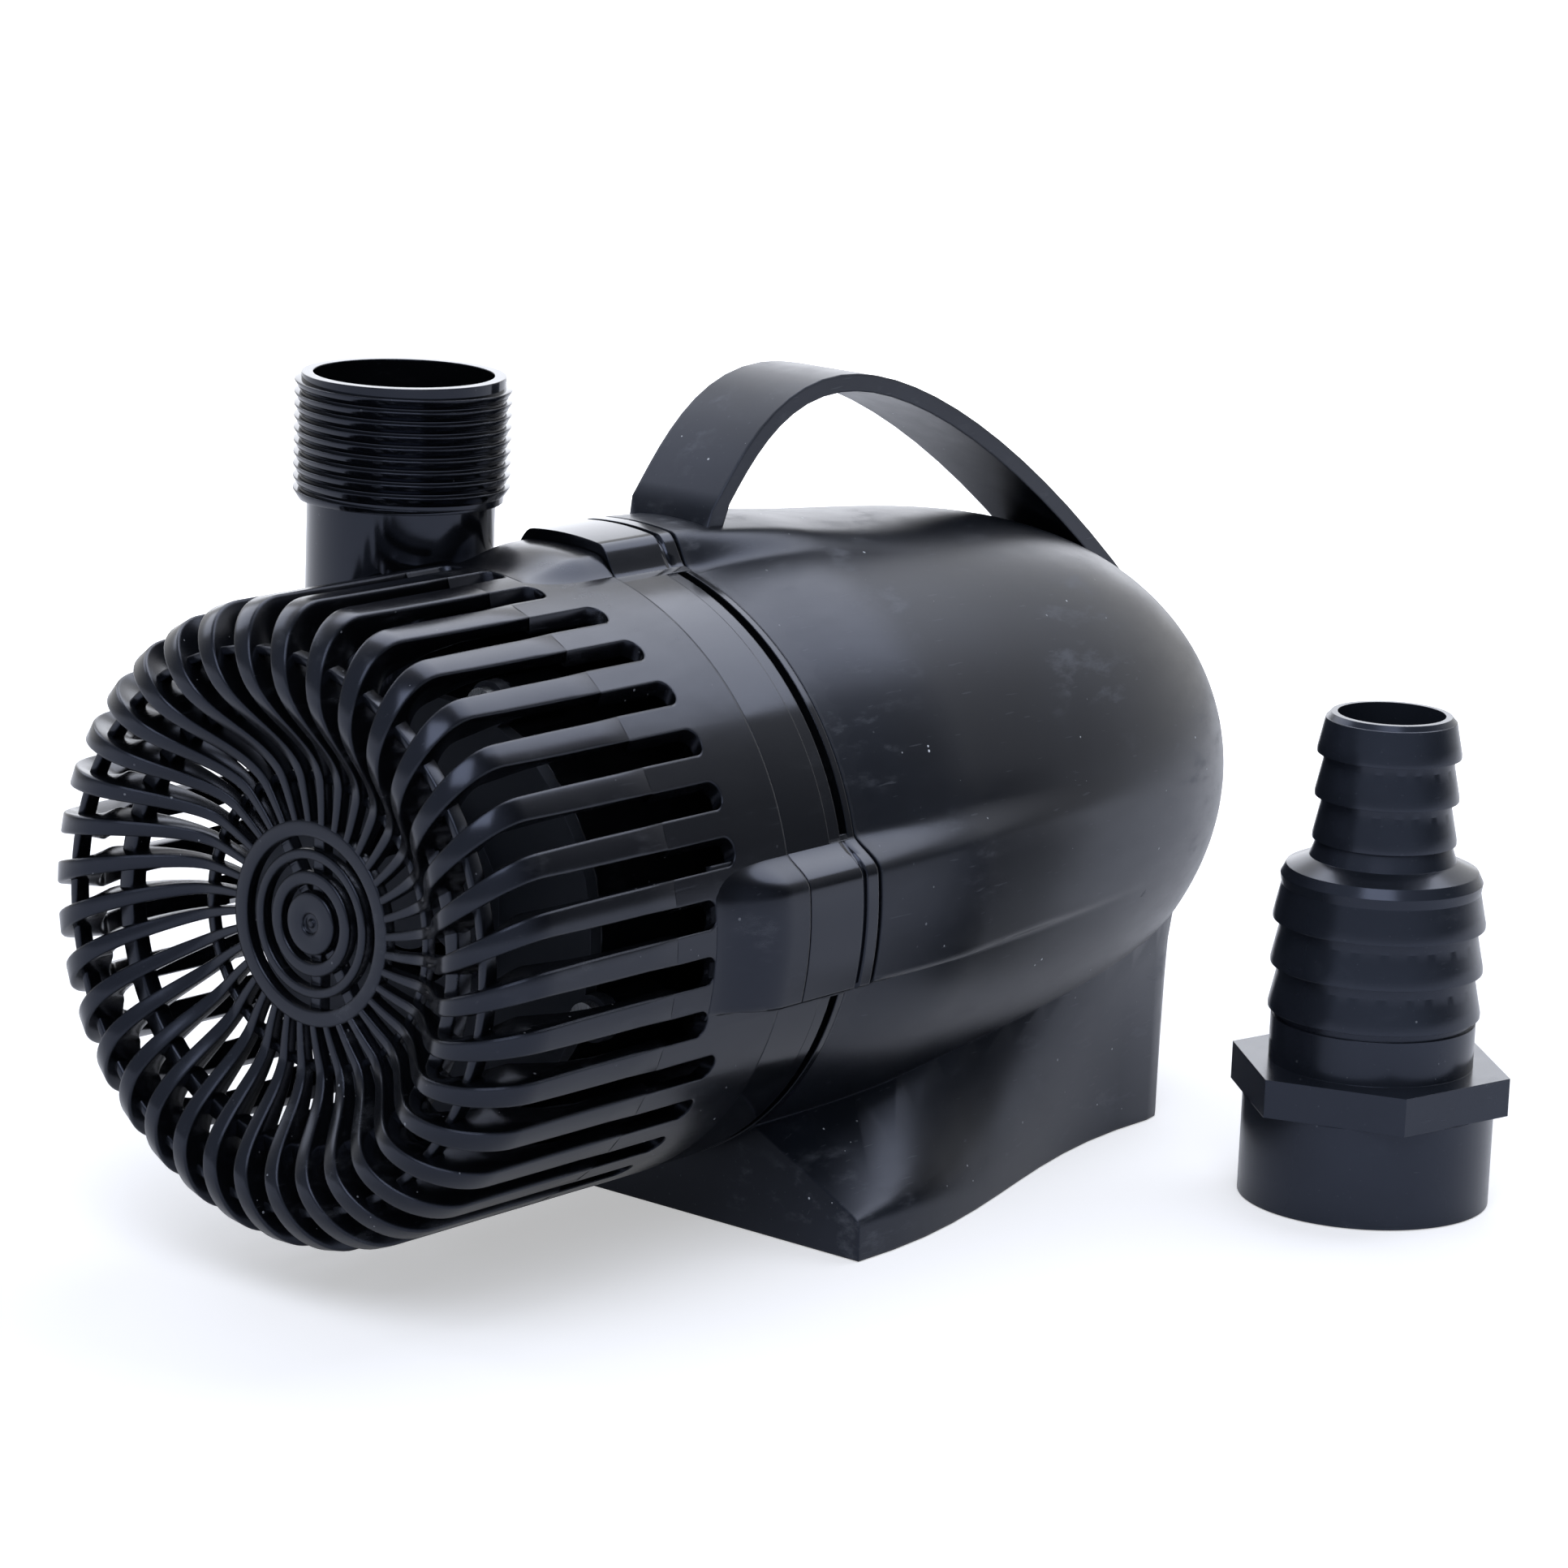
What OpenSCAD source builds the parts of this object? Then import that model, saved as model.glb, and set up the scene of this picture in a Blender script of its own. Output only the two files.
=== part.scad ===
// Submersible fountain pump with a swirl-ribbed intake cage, and its hose adapter.
// Origin: on the floor, in the middle plane, under the front rim of the motor housing.
// +Z is up, the pump axis runs along Y, and the intake faces -Y.

/* [Stance] */
// Gap between the intake cage and the floor
ground_gap = 8.8; // [4:0.1:20]

/* [Intake cage] */
// Outer radius of the cage
cage_r = 60.9; // [56:0.1:75]
// Length of the cage's straight side, from the dish to the rear edge
cage_side = 65; // [60:0.5:85]
// How far the rounded crest stands in front of the dish
bulge = 16.3; // [8:0.1:20]
// Radius of the corner between the crest and the straight side
cage_corner = 10.3; // [6:0.1:14]
// Radius of the flat middle of the dish
flat_r = 26.5; // [22:0.5:32]
// Thickness of the cage's wall
cage_wall = 3; // [2:0.1:4]
// Depth of the ribs at the crest
rib_depth = 12; // [6:0.5:14]
// Number of swirling ribs
ribs = 36; // [24:1:40]
// Share of each rib pitch that is open
slot_share = 0.52; // [0.4:0.01:0.6]
// Angle that each rib sweeps from the hub ring to the rim
swirl = 17.85; // [5:0.05:30]
// Turn of the slots away from the top
turn = 4.15; // [-10:0.05:10]
// Length of the solid band behind the slots
band = 14.3; // [10:0.1:20]
// Outer radius of the hub ring
hub_ring_r = 18.4; // [16:0.1:21]
// Thickness of the hub rings
ring_t = 2.6; // [2:0.1:4]

/* [Latch blocks] */
// Turn of the latch blocks away from the top
block_turn = 1.5; // [-5:0.1:5]
// Half angle of a latch block at its top
block_half = 10; // [6:0.5:14]
// Half angle of a latch block at its foot
block_foot = 14.5; // [10:0.5:17]
// Height of the blocks on the pump casing's rim
block_h = 4.9; // [3:0.1:7]
// Height of the raised pads on the cage
pad_h = 3.6; // [2:0.1:6]
// Length of the raised pads on the cage
pad_len = 22; // [16:0.5:30]

/* [Pump casing] */
// Width of the rim band between the cage and the motor housing
rim_w = 23; // [20:0.5:30]
// How far the rim band lies below the cage's surface
rim_step = 0.2; // [0:0.1:1]
// Wall thickness of the casing
casing_wall = 2.6; // [2:0.1:4]
// Inner radius where the volute starts
volute_start_r = 34; // [33:0.5:36]
// Distance of the outlet's axis to the left of the pump axis
outlet_x = 29.3; // [26:0.1:32]
// Distance of the outlet's axis in front of the motor housing
outlet_y = 35.1; // [32:0.1:40]
// Height of the outlet's rim above the floor
outlet_h = 163; // [150:0.5:200]
// Outer radius of the plain outlet pipe
pipe_r = 18; // [16:0.1:19]
// Wall thickness of the outlet pipe
pipe_wall = 2.8; // [2:0.1:4]
// Bore radius of the outlet's mouth
mouth_r = 17.3; // [16:0.1:17.6]
// Crest radius of the pipe thread, G 1 1/4
thread_r = 20.95; // [20:0.01:21]
// Length of the threaded part
thread_len = 24; // [18:0.5:30]
// Radius of the intake eye
eye_r = 16; // [12:0.5:20]

/* [Motor housing] */
// How far the housing's front edge lies below the rim band
housing_step = 1.1; // [0.5:0.1:3]
// How far the housing swells from its front edge to its belly
belly_swell = 2; // [0:0.1:4]
// Place of the largest radius behind the front rim
belly_y = 30; // [24:1:50]
// Length of the tapering tail behind the belly
tail = 137; // [110:1:160]
// Wall thickness of the housing
housing_wall = 3; // [2.4:0.1:4]
// Height of the faired rails behind the latch blocks
rail_h = 4.8; // [3:0.1:6]
// Length of the rail under the handle
top_rail_len = 66; // [50:1:80]
// Length of the rails along the sides
side_rail_len = 112; // [90:1:140]

/* [Pedestal] */
// Half width of the pedestal at its front
foot_front = 62; // [55:0.5:72]
// Half width of the pedestal at its rear
foot_rear = 42; // [36:0.5:50]
// Length of the pedestal
foot_len = 130; // [110:1:140]
// Radius of the pedestal's rear corners
foot_corner = 10; // [4:0.5:16]
// Height of the pedestal's edge at the front corners
foot_edge = 7.9; // [5:0.1:12]
// Wall thickness of the pedestal
foot_wall = 3; // [2.4:0.1:4]

/* [Handle] */
// Width of the handle strap
strap_w = 20.6; // [16:0.1:30]
// Thickness of the handle strap
strap_t = 3.5; // [3:0.1:6]
// Height of the handle's top above the housing's belly
handle_rise = 28.6; // [24:0.1:40]
// Distance of the handle's top behind the front rim
handle_top_y = 48; // [40:1:60]

/* [Rotor] */
// Radius of the ceramic shaft
shaft_r = 4; // [3:0.1:5]
// Radius of the rotor magnet
magnet_r = 17.4; // [15:0.1:19]
// Length of the rotor magnet
magnet_len = 52; // [40:1:60]
// Radius of the impeller
impeller_r = 30.5; // [26:0.5:31]
// Number of impeller blades
blades = 6; // [4:1:8]
// Height of the impeller blades
blade_h = 20; // [12:0.5:24]

/* [Hose adapter] */
// Place of the adapter beside the pump, along X
adapter_x = 103.3; // [95:0.5:130]
// Place of the adapter behind the housing's front rim
adapter_y = 109.6; // [60:0.5:150]
// Overall height of the adapter
adapter_h = 98.6; // [85:0.5:120]
// Outer radius of the adapter's socket
socket_r = 25.1; // [24:0.1:30]
// Height of the socket below the hexagon
socket_h = 20.1; // [18:0.1:26]
// Thickness of the hexagon
hex_t = 7.7; // [5:0.1:12]
// Corner radius of the hexagon
hex_r = 28.7; // [27:0.1:34]
// Crest radius of the large hose barbs, for a 1 1/2 inch hose
barb_l = 21.1; // [19:0.1:22]
// Crest radius of the small hose barbs, for a 1 inch hose
barb_s = 14.3; // [13:0.1:16]
// Bore radius of the small end
adapter_bore = 10.7; // [9:0.1:11]

/* [Clearances] */
// Gap between a removable part and its seat
fit = 0.3; // [0.2:0.05:0.6]
// Radial running clearance of the bushes on the shaft
run_fit = 0.05; // [0.02:0.01:0.1]
// Gap between the rotor magnet and its can
rotor_gap = 1; // [0.8:0.1:1.5]

/* [Hidden] */
$fn = 96;

black = "#26282c";
gloss = "#17181b";
slate = "#34373d";
rubber = "#101113";
steel = "#b9bcc0";
ceramic = "#e9e4d8";
ferrite = "#3b3a38";
copper = "#b5652c";
iron = "#6d7074";
resin = "#4a3f2f";
white = "#d8d6cf";

// Radii that follow the cage, and the height of the pump axis above the floor.
crest_r = cage_r - cage_corner;
rim_r = cage_r - rim_step;
housing_r = rim_r - housing_step; // front edge of the motor housing
belly_r = housing_r + belly_swell; // largest radius of the motor housing
axis_h = cage_r + ground_gap;

// Planes along Y, from the intake to the tail.
seam = -rim_w;                    // rear edge of the cage
dish = seam - cage_side;          // flat middle of the intake dish
slot_end = seam - band;           // rear end of the slots
lip = -3;                         // rear edge of the casing's rim
housing_rim = -1.6;               // front edge of the motor housing
rim_back = -2.4;                  // rear face of the pump casing
volute_front = -outlet_y - pipe_r - 0.6; // front face of the volute
volute_back = -outlet_y + pipe_r + 0.6;  // rear of the volute chamber's wall
cover_t = 3;                      // thickness of the casing cover
cover_front = volute_front - cover_t;
eye_front = cover_front - 6;
flange_y = 0.3;                   // front face of the can's flange
gate_r = 1.5;                     // flat spot at the tail's tip, left by the mould's gate
flange_t = 4;
flange_r = housing_r - housing_wall - fit;
ledge_y = flange_y + flange_t + fit;
can_r = magnet_r + rotor_gap;     // inner radius of the rotor can
can_wall = 1.1;
magnet_y = 7;
can_end = magnet_y + magnet_len + 10;
cup_r = shaft_r + 3;
cup_len = 8;
sleeve_r = shaft_r + 6;
impeller_back = volute_back - 4;  // rear face of the impeller's disc
plate_t = 2.4;
core_y = 16;
core_len = 40;
core_x = can_r + 16.6;
core_z = can_r + 24.6;
coil_z = can_r + 4.6;
coil_t = 10;
pole_w = 24;
coil_w = 11;
screw_r = 2;
thread_depth = 1.48;              // depth of the pipe thread
draft = 0.052;                   // taper of the housing's side
screw_ring_r = housing_r - 11.6;
pipe_bore_r = pipe_r - pipe_wall;
socket_bore = thread_r - thread_depth / 2 + 0.1; // the adapter's thread, at its pitch radius
washer_t = 2;
gland_r = 7;
cable_r = 3.4;
gland_end = 27.5;                 // outer end of the gland's body
gland_y = 104;

// A point at radius r, a degrees clockwise from the top as seen from the intake.
function polar(r, a) = [r * sin(a), -r * cos(a)];
// Centre of the circle through three points.
function circle_centre(a, b, c) =
    let (d = 2 * (a.x * (b.y - c.y) + b.x * (c.y - a.y) + c.x * (a.y - b.y)),
         aa = a * a, bb = b * b, cc = c * c)
    [(aa * (b.y - c.y) + bb * (c.y - a.y) + cc * (a.y - b.y)) / d,
     (aa * (c.x - b.x) + bb * (a.x - c.x) + cc * (b.x - a.x)) / d];
// Points of a cubic curve with end points a, d and handles b, c.
function bezier(a, b, c, d, n = 10) = [
    for (i = [0 : n]) let (t = i / n, s = 1 - t)
    s * s * s * a + 3 * s * s * t * b + 3 * s * t * t * c + t * t * t * d
];

// Puts a shape drawn along local z onto the pump axis, with local z running back.
module on_axis(y = 0) {
    translate([0, y, axis_h]) rotate([-90, 0, 0]) children();
}

// A ring about the pump axis between two planes.
module ring(y0, y1, r_out, r_in) {
    on_axis(y0) difference() {
        cylinder(h = y1 - y0, r = r_out);
        translate([0, 0, -1]) cylinder(h = y1 - y0 + 2, r = r_in);
    }
}

// A tapered block section: narrow at its top, wider at its foot.
module block_2d(a, r_top) {
    polygon([
        polar(cage_r - 8, a - block_foot), polar(rim_r, a - block_foot),
        polar(r_top, a - block_half), polar(r_top * 1.02, a),
        polar(r_top, a + block_half), polar(rim_r, a + block_foot),
        polar(cage_r - 8, a + block_foot)
    ]);
}

block_angles = [block_turn, block_turn + 90, block_turn - 90];
function in_pad(a) = min([for (b = block_angles) abs((a - b + 540) % 360 - 180)]) < block_foot + 0.5;

/* ---- intake cage ---- */

// Outer face of the dish at radius r.
function face(r) = r <= flat_r ? 0 :
    -bulge * (1 - cos(180 * (r - flat_r) / (crest_r - flat_r))) / 2;

module cage_shell() {
    face_out = [for (i = [0 : 10]) let (r = flat_r + (crest_r - flat_r) * i / 10) [r, face(r)]];
    corner_out = [for (a = [15 : 15 : 90])
        [crest_r + (cage_r - crest_r) * sin(a), -bulge * cos(a)]];
    side_in = cage_r - cage_wall;
    corner_in = [for (a = [90 : -30 : 0])
        [crest_r - 4 + (side_in - crest_r + 4) * sin(a), 7 - (bulge - rib_depth + 7) * cos(a)]];
    on_axis(dish) rotate_extrude() polygon(concat(
        [[hub_ring_r - 2.1, ring_t], [hub_ring_r - 2.1, 0]],
        face_out, corner_out,
        [[cage_r, cage_side], [side_in, cage_side]],
        corner_in,
        [[flat_r, ring_t]]
    ));
}

// One slot between two ribs, swept as an arc from the hub ring to the rim.
module slot_2d() {
    half = 180 / ribs * slot_share;
    sweep = swirl / (cage_r - hub_ring_r);
    p = [for (r = [hub_ring_r, (cage_r + hub_ring_r) / 2, cage_r]) polar(r, (cage_r - r) * sweep)];
    c = circle_centre(p[0], p[1], p[2]);
    arc_r = norm(c - p[0]);
    intersection() {
        difference() {
            rotate(half) translate(c) circle(r = arc_r, $fn = 180);
            rotate(-half) translate(c) circle(r = arc_r, $fn = 180);
        }
        difference() {
            polygon([[0, 0], polar(90, -25), polar(90, 40)]);
            circle(r = hub_ring_r + 1);
        }
    }
}

module intake_cage() {
    slot_len = slot_end - dish + bulge + 2;
    lean = atan(cage_r * swirl / (cage_r - hub_ring_r) * PI / 180);
    slot_w = 2 * cage_r * sin(180 / ribs * slot_share) * cos(lean);
    color(black) difference() {
        union() {
            difference() {
                union() {
                    cage_shell();
                    cage_pads();
                }
                for (i = [0 : ribs - 1]) {
                    a = turn + i * 360 / ribs;
                    cut = in_pad(a) ? 6.5 : 0;
                    on_axis(dish - bulge - 2) rotate(a) {
                        linear_extrude(slot_len - cut - slot_w / 2) slot_2d();
                        translate([0, -cage_r, slot_len - cut - slot_w / 2]) rotate([90, 0, -lean])
                            cylinder(h = 16, r = slot_w / 2, center = true, $fn = 32);
                    }
                }
            }
            hub_rings();
            cage_hoops();
        }
        outlet_notch();
    }
}

// Raised pads in front of the latch blocks.
module cage_pads() {
    for (a = block_angles) intersection() {
        on_axis(seam - pad_len) linear_extrude(pad_len) block_2d(a, cage_r + pad_h);
        on_axis(seam - pad_len) rotate_extrude() polygon([
            [cage_r - 0.5, 0], [cage_r + pad_h, 7], [cage_r + pad_h, pad_len], [cage_r - 0.5, pad_len]
        ]);
    }
}

// Concentric rings and the cross bars behind them, in the middle of the dish.
module hub_rings() {
    for (r = [[14.0, 12.1], [9.9, 7.4]]) ring(dish, dish + ring_t, r[0], r[1]);
    on_axis(dish) cylinder(h = ring_t, r = 5.9);
    for (a = [0, -32.5]) on_axis(dish + ring_t) rotate(a)
        translate([-1.2, -hub_ring_r + 0.4, -0.6]) cube([2.4, 2 * hub_ring_r - 0.8, 2.6]);
}

// Hoops that tie the ribs together on the inside.
module cage_hoops() {
    ring(dish + 1.4, dish + 4, 28.6, 26.2);
    ring(dish - 4.5, dish + 0.8, 44.4, 42);
    ring(dish + 3, dish + 7, cage_r - cage_wall + 0.4, cage_r - cage_wall - 2);
}

// Opening for the outlet pipe, open to the rear so that the cage slides off forwards.
module outlet_notch() {
    r = pipe_r + 1.2;
    translate([-outlet_x, -outlet_y, axis_h]) {
        cylinder(h = 120, r = r);
        translate([-r, 0, 0]) cube([2 * r, outlet_y, 120]);
    }
}

/* ---- pump head ---- */

// Volute outline: the radius grows clockwise up to the outlet.
module volute_2d(wall) {
    throat = outlet_x + pipe_r - casing_wall;
    polygon([for (i = [0 : 30]) let (t = i / 30, a = -55 + 325 * t)
        polar(volute_start_r + wall + (throat - volute_start_r) * t, a)]);
}

module volute_lugs(y0, len) {
    for (a = [20, 110, 200]) on_axis(y0) rotate(a)
        translate([0, -lug_r(a), 0]) cylinder(h = len, r = 4.5, $fn = 32);
}
function lug_r(a) = volute_start_r + casing_wall + (outlet_x + pipe_r - casing_wall - volute_start_r)
    * (a + 55) / 325 + 2.6;

module pump_casing() {
    color(gloss) difference() {
        union() {
            rim_band();
            on_axis(volute_front) linear_extrude(volute_back - volute_front) volute_2d(casing_wall);
            ring(volute_back - 1, rim_back, can_r + 12, can_r);
            volute_lugs(volute_front, 14);
            outlet_pipe_outer();
        }
        on_axis(volute_front - 1)
            linear_extrude(volute_back - volute_front + 1 - casing_wall) volute_2d(0);
        on_axis(volute_back - 4) cylinder(h = 30, r = can_r);
        for (a = [20, 110, 200]) on_axis(volute_front - 1) rotate(a)
            translate([0, -lug_r(a), 0]) cylinder(h = 12, r = screw_r - 0.4, $fn = 32);
        translate([-outlet_x, -outlet_y, axis_h]) {
            cylinder(h = outlet_h - axis_h + 1, r = pipe_bore_r);
            translate([0, 0, outlet_h - axis_h - thread_len - 2])
                cylinder(h = thread_len + 4, r = mouth_r);
        }
        for (a = casing_screw_angles) on_axis(-10) rotate(a)
            translate([0, -screw_ring_r, 0]) cylinder(h = 12, r = screw_r + 0.2, $fn = 32);
    }
}
casing_screw_angles = [45, 135, 225, 315];

// The band that shows between the cage and the housing, its latch blocks and its web.
module rim_band() {
    inner = cage_r - cage_wall - fit;
    on_axis(0) rotate_extrude() polygon([
        [inner - casing_wall, seam - 6], [inner, seam - 6], [inner, seam + fit], [rim_r, seam + fit],
        [rim_r, -10.4], [rim_r - 0.3, -10.4], [rim_r - 0.3, -6.9], [rim_r - 2.2, -6.7],
        [rim_r - 2.2, -4.8], [rim_r - 0.2, -4.6], [rim_r - 0.2, lip], [rim_r - 3.4, lip],
        [rim_r - 3.4, rim_back], [can_r + 2, rim_back], [can_r + 2, rim_back - 3],
        [inner - casing_wall, rim_back - 3]
    ]);
    for (a = block_angles) intersection() {
        on_axis(seam + fit) linear_extrude(lip - seam - fit) block_2d(a, rim_r + block_h);
        ring(seam + fit, lip, rim_r + block_h, rim_r - 2.4);
    }
}

module outlet_pipe_outer() {
    translate([-outlet_x, -outlet_y, axis_h]) {
        cylinder(h = outlet_h - axis_h, r = pipe_r);
        translate([0, 0, outlet_h - axis_h - thread_len])
            cylinder(h = thread_len, r = thread_r - thread_depth / 2);
    }
}

module casing_cover() {
    color(gloss) difference() {
        union() {
            on_axis(cover_front) linear_extrude(cover_t - 0.2) volute_2d(casing_wall);
            ring(eye_front, cover_front + 1, eye_r + 2.4, eye_r);
            volute_lugs(cover_front, cover_t - 0.2);
        }
        on_axis(eye_front - 1) cylinder(h = 12, r = eye_r);
        for (a = [20, 110, 200]) on_axis(cover_front - 1) rotate(a)
            translate([0, -lug_r(a), 0]) cylinder(h = 6, r = screw_r + 0.2, $fn = 32);
    }
    color(gloss) difference() {
        union() {
            on_axis(eye_front) cylinder(h = cup_len, r = cup_r + 2);
            for (a = [0, 120, 240]) on_axis(eye_front + 1) rotate(a)
                translate([-1.2, -eye_r - 1, 0]) cube([2.4, eye_r + 1, cup_len - 2]);
        }
        on_axis(eye_front + 1.6) cylinder(h = cup_len, r = cup_r);
    }
}

module cover_seal() {
    color(rubber) difference() {
        on_axis(volute_front - 0.2) linear_extrude(0.2) volute_2d(casing_wall);
        on_axis(volute_front - 1) linear_extrude(3) volute_2d(0.4);
    }
}

// Pan-head screw with its tip towards local +z and its head's seat at z = 0.
module screw(len, head_r) {
    cylinder(h = len, r = screw_r - 0.5, $fn = 32);
    difference() {
        translate([0, 0, -2.2]) cylinder(h = 2.2, r = head_r, $fn = 32);
        for (a = [0, 90]) rotate(a) translate([-0.4, -1.6, -3]) cube([0.8, 3.2, 2]);
    }
}

module cover_screws() {
    color(steel) for (a = [20, 110, 200]) on_axis(cover_front) rotate(a)
        translate([0, -lug_r(a), 0]) screw(12, 3.4);
}

/* ---- rotor ---- */

module impeller() {
    disc_front = impeller_back - plate_t;
    color(slate) difference() {
        union() {
            on_axis(disc_front) cylinder(h = plate_t, r = impeller_r);
            on_axis(disc_front - blade_h) cylinder(h = blade_h + 1, r = sleeve_r + 2.4);
            for (i = [0 : blades - 1]) on_axis(disc_front - blade_h) rotate(i * 360 / blades)
                linear_extrude(blade_h + 0.5) blade_2d();
        }
        on_axis(disc_front - blade_h - 1) cylinder(h = blade_h + plate_t + 3, r = sleeve_r);
    }
}

// A backward-curved blade between the hub and the rim of the impeller.
module blade_2d() {
    arc_r = impeller_r * 0.72;
    intersection() {
        difference() {
            translate([arc_r, 0]) circle(r = arc_r + 1);
            translate([arc_r, 0]) circle(r = arc_r - 1);
        }
        difference() {
            circle(r = impeller_r - 0.6);
            circle(r = sleeve_r + 1);
        }
        translate([0, -impeller_r]) square([impeller_r, impeller_r]);
    }
}

module rotor_sleeve() {
    front = impeller_back - plate_t - blade_h;
    color(white) difference() {
        ring(front, magnet_y + magnet_len, sleeve_r, shaft_r + 2);
        on_axis(front - 1) cylinder(h = 13, r = shaft_r + 3);
        on_axis(magnet_y + magnet_len - 12) cylinder(h = 13, r = shaft_r + 3);
    }
}

module rotor_magnet() {
    color(ferrite) ring(magnet_y, magnet_y + magnet_len, magnet_r, sleeve_r);
}

module front_bush() {
    front = impeller_back - plate_t - blade_h;
    color(ceramic) ring(front - 0.5, front + 12, shaft_r + 3, shaft_r + run_fit);
}

module rear_bush() {
    back = magnet_y + magnet_len;
    color(ceramic) ring(back - 12, back + 0.5, shaft_r + 3, shaft_r + run_fit);
}

module shaft() {
    color(ceramic) on_axis(eye_front + 3.6) cylinder(h = can_end - 4 - eye_front - 3.6, r = shaft_r);
}

// Rubber cup that holds one end of the shaft; local z points to the open side.
module shaft_cup() {
    difference() {
        cylinder(h = cup_len - 1.6, r = cup_r);
        translate([0, 0, 2]) cylinder(h = cup_len, r = shaft_r);
    }
}

module front_shaft_cup() {
    color(rubber) on_axis(eye_front + 1.6) shaft_cup();
}

module rear_shaft_cup() {
    color(rubber) on_axis(can_end - 2) mirror([0, 0, 1]) shaft_cup();
}

/* ---- motor ---- */

module rotor_can() {
    color(slate) difference() {
        union() {
            on_axis(flange_y) cylinder(h = flange_t, r = flange_r);
            on_axis(flange_y) cylinder(h = can_end - flange_y, r = can_r + can_wall);
        }
        on_axis(flange_y - 1) cylinder(h = can_end - 2 - cup_len + 1.6 - flange_y + 1, r = can_r);
        on_axis(can_end - 12) cylinder(h = 10, r = cup_r);
        for (a = casing_screw_angles) on_axis(flange_y - 1) rotate(a)
            translate([0, -screw_ring_r, 0]) cylinder(h = 8, r = screw_r + 0.2, $fn = 32);
        ring(flange_y - 1, flange_y + 1.2, 36, 32);
    }
}

module can_seal() {
    color(rubber) ring(rim_back, flange_y + 1.2, 36, 32);
}

module rim_gasket() {
    color(rubber) ring(rim_back, flange_y, flange_r - 0.4, flange_r - 3.4);
}

module casing_screws() {
    color(steel) for (a = casing_screw_angles) on_axis(rim_back - 3) rotate(a)
        translate([0, -screw_ring_r, 0]) screw(20, 3.6);
}

// Radius of the housing at distance y behind its front rim: a moulding draft, then a blunt dome.
function hull_r(y) = y < belly_y
    ? housing_r + (belly_r - housing_r) * sin(90 * y / belly_y)
    : (belly_r - draft * (y - belly_y)) * pow(1 - pow((y - belly_y) / tail, 3.8), 0.49);

// Profile of the housing from its rim to its tip, shrunk by a wall thickness.
function bullet(wall) =
    let (k = (tail - wall) / tail, f = (belly_r - wall) / belly_r)
    concat(
        [for (y = [10 : 10 : belly_y - 1]) [hull_r(y) - wall, y]],
        [for (t = [0 : 6 : 84]) let (y = belly_y + tail * sin(t))
            [hull_r(y) * f, belly_y + (y - belly_y) * k]]
    );

module bullet_solid(wall, y0) {
    on_axis(0) rotate_extrude($fn = 128)
        polygon(concat([[0, y0], [housing_r - wall, y0]], bullet(wall),
            [[gate_r, belly_y + tail - wall], [0, belly_y + tail - wall]]));
}

// Faired rails that run back from the latch blocks and sink into the tail.
module housing_rails() {
    for (i = [0 : 2]) intersection() {
        len = i == 0 ? top_rail_len : side_rail_len;
        on_axis(housing_rim) linear_extrude(len - housing_rim) block_2d(block_angles[i], rim_r + rail_h);
        on_axis(0) rotate_extrude($fn = 128) polygon(concat(
            [[housing_r - 14, housing_rim], [housing_r + rail_h, housing_rim]],
            [for (k = [1 : 10]) let (y = k * len / 10)
                [hull_r(y) + rail_h - (rail_h + 1) * (1 - cos(9 * k)), y]],
            [[housing_r - 14, len]]
        ));
    }
}

// Half width of the pedestal's foot at distance y behind the front rim.
function foot_half(y) = foot_rear + (foot_front - foot_rear)
    * (1 + cos(180 * min(1, max(0, (y - 5) / (foot_len - 20))))) / 2
    - (y > foot_len - foot_corner ? foot_corner - sqrt(foot_corner * foot_corner
        - pow(y - foot_len + foot_corner, 2)) : 0);
// Line along which the pedestal's side runs into the housing.
function fold(y) = let (z = 21.5 + 0.17 * y) [sqrt(max(1, pow(hull_r(y), 2) - pow(axis_h - z, 2))) - 0.6, z];
// One half of the pedestal's section at distance y: foot, soft corner, hollow flank, fold.
function flank(y, inset) =
    let (w = foot_half(min(foot_len, y * foot_len / (foot_len - inset))) - inset,
         sharp = 1 + 14 * pow(max(0, 1 - y / 45), 2),
         a = [w, 0], c = [w, foot_edge + 0.07 * y - inset * 0.6], f = fold(y) - [inset, inset * 0.5])
    [for (i = [0 : 8]) let (t = i / 8, k = 2 * sharp * t * (1 - t))
        (pow(1 - t, 2) * a + k * c + t * t * f) / (pow(1 - t, 2) + k + t * t)];

// Lofted pedestal; its flanks flare from the housing to the foot.
module pedestal_solid(inset) {
    stations = concat([for (i = [0 : 11]) (foot_len - foot_corner) * i / 11],
        [for (a = [22.5 : 22.5 : 90]) foot_len - foot_corner + foot_corner * sin(a)]);
    ys = [for (y = stations) inset + y * (foot_len - 2 * inset) / foot_len];
    ring_pts = [for (y = ys) let (h = flank(y, inset), top = axis_h - 22)
        concat([for (p = h) [p.x, y, p.y]], [[h[8].x - 4, y, top], [4 - h[8].x, y, top]],
            [for (i = [8 : -1 : 0]) [-h[i].x, y, h[i].y]])];
    n = len(ring_pts[0]);
    pts = [for (r = ring_pts) each r];
    rear = (len(ys) - 1) * n;
    polyhedron(pts, concat(
        [for (i = [0 : n / 2 - 2]) [n - 1 - i, n - 2 - i, i + 1, i]],
        [for (i = [0 : n / 2 - 2]) [rear + i, rear + i + 1, rear + n - 2 - i, rear + n - 1 - i]],
        [for (j = [0 : len(ys) - 2], i = [0 : n - 1])
            [j * n + i, j * n + (i + 1) % n, (j + 1) * n + (i + 1) % n, (j + 1) * n + i]]
    ));
}

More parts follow.
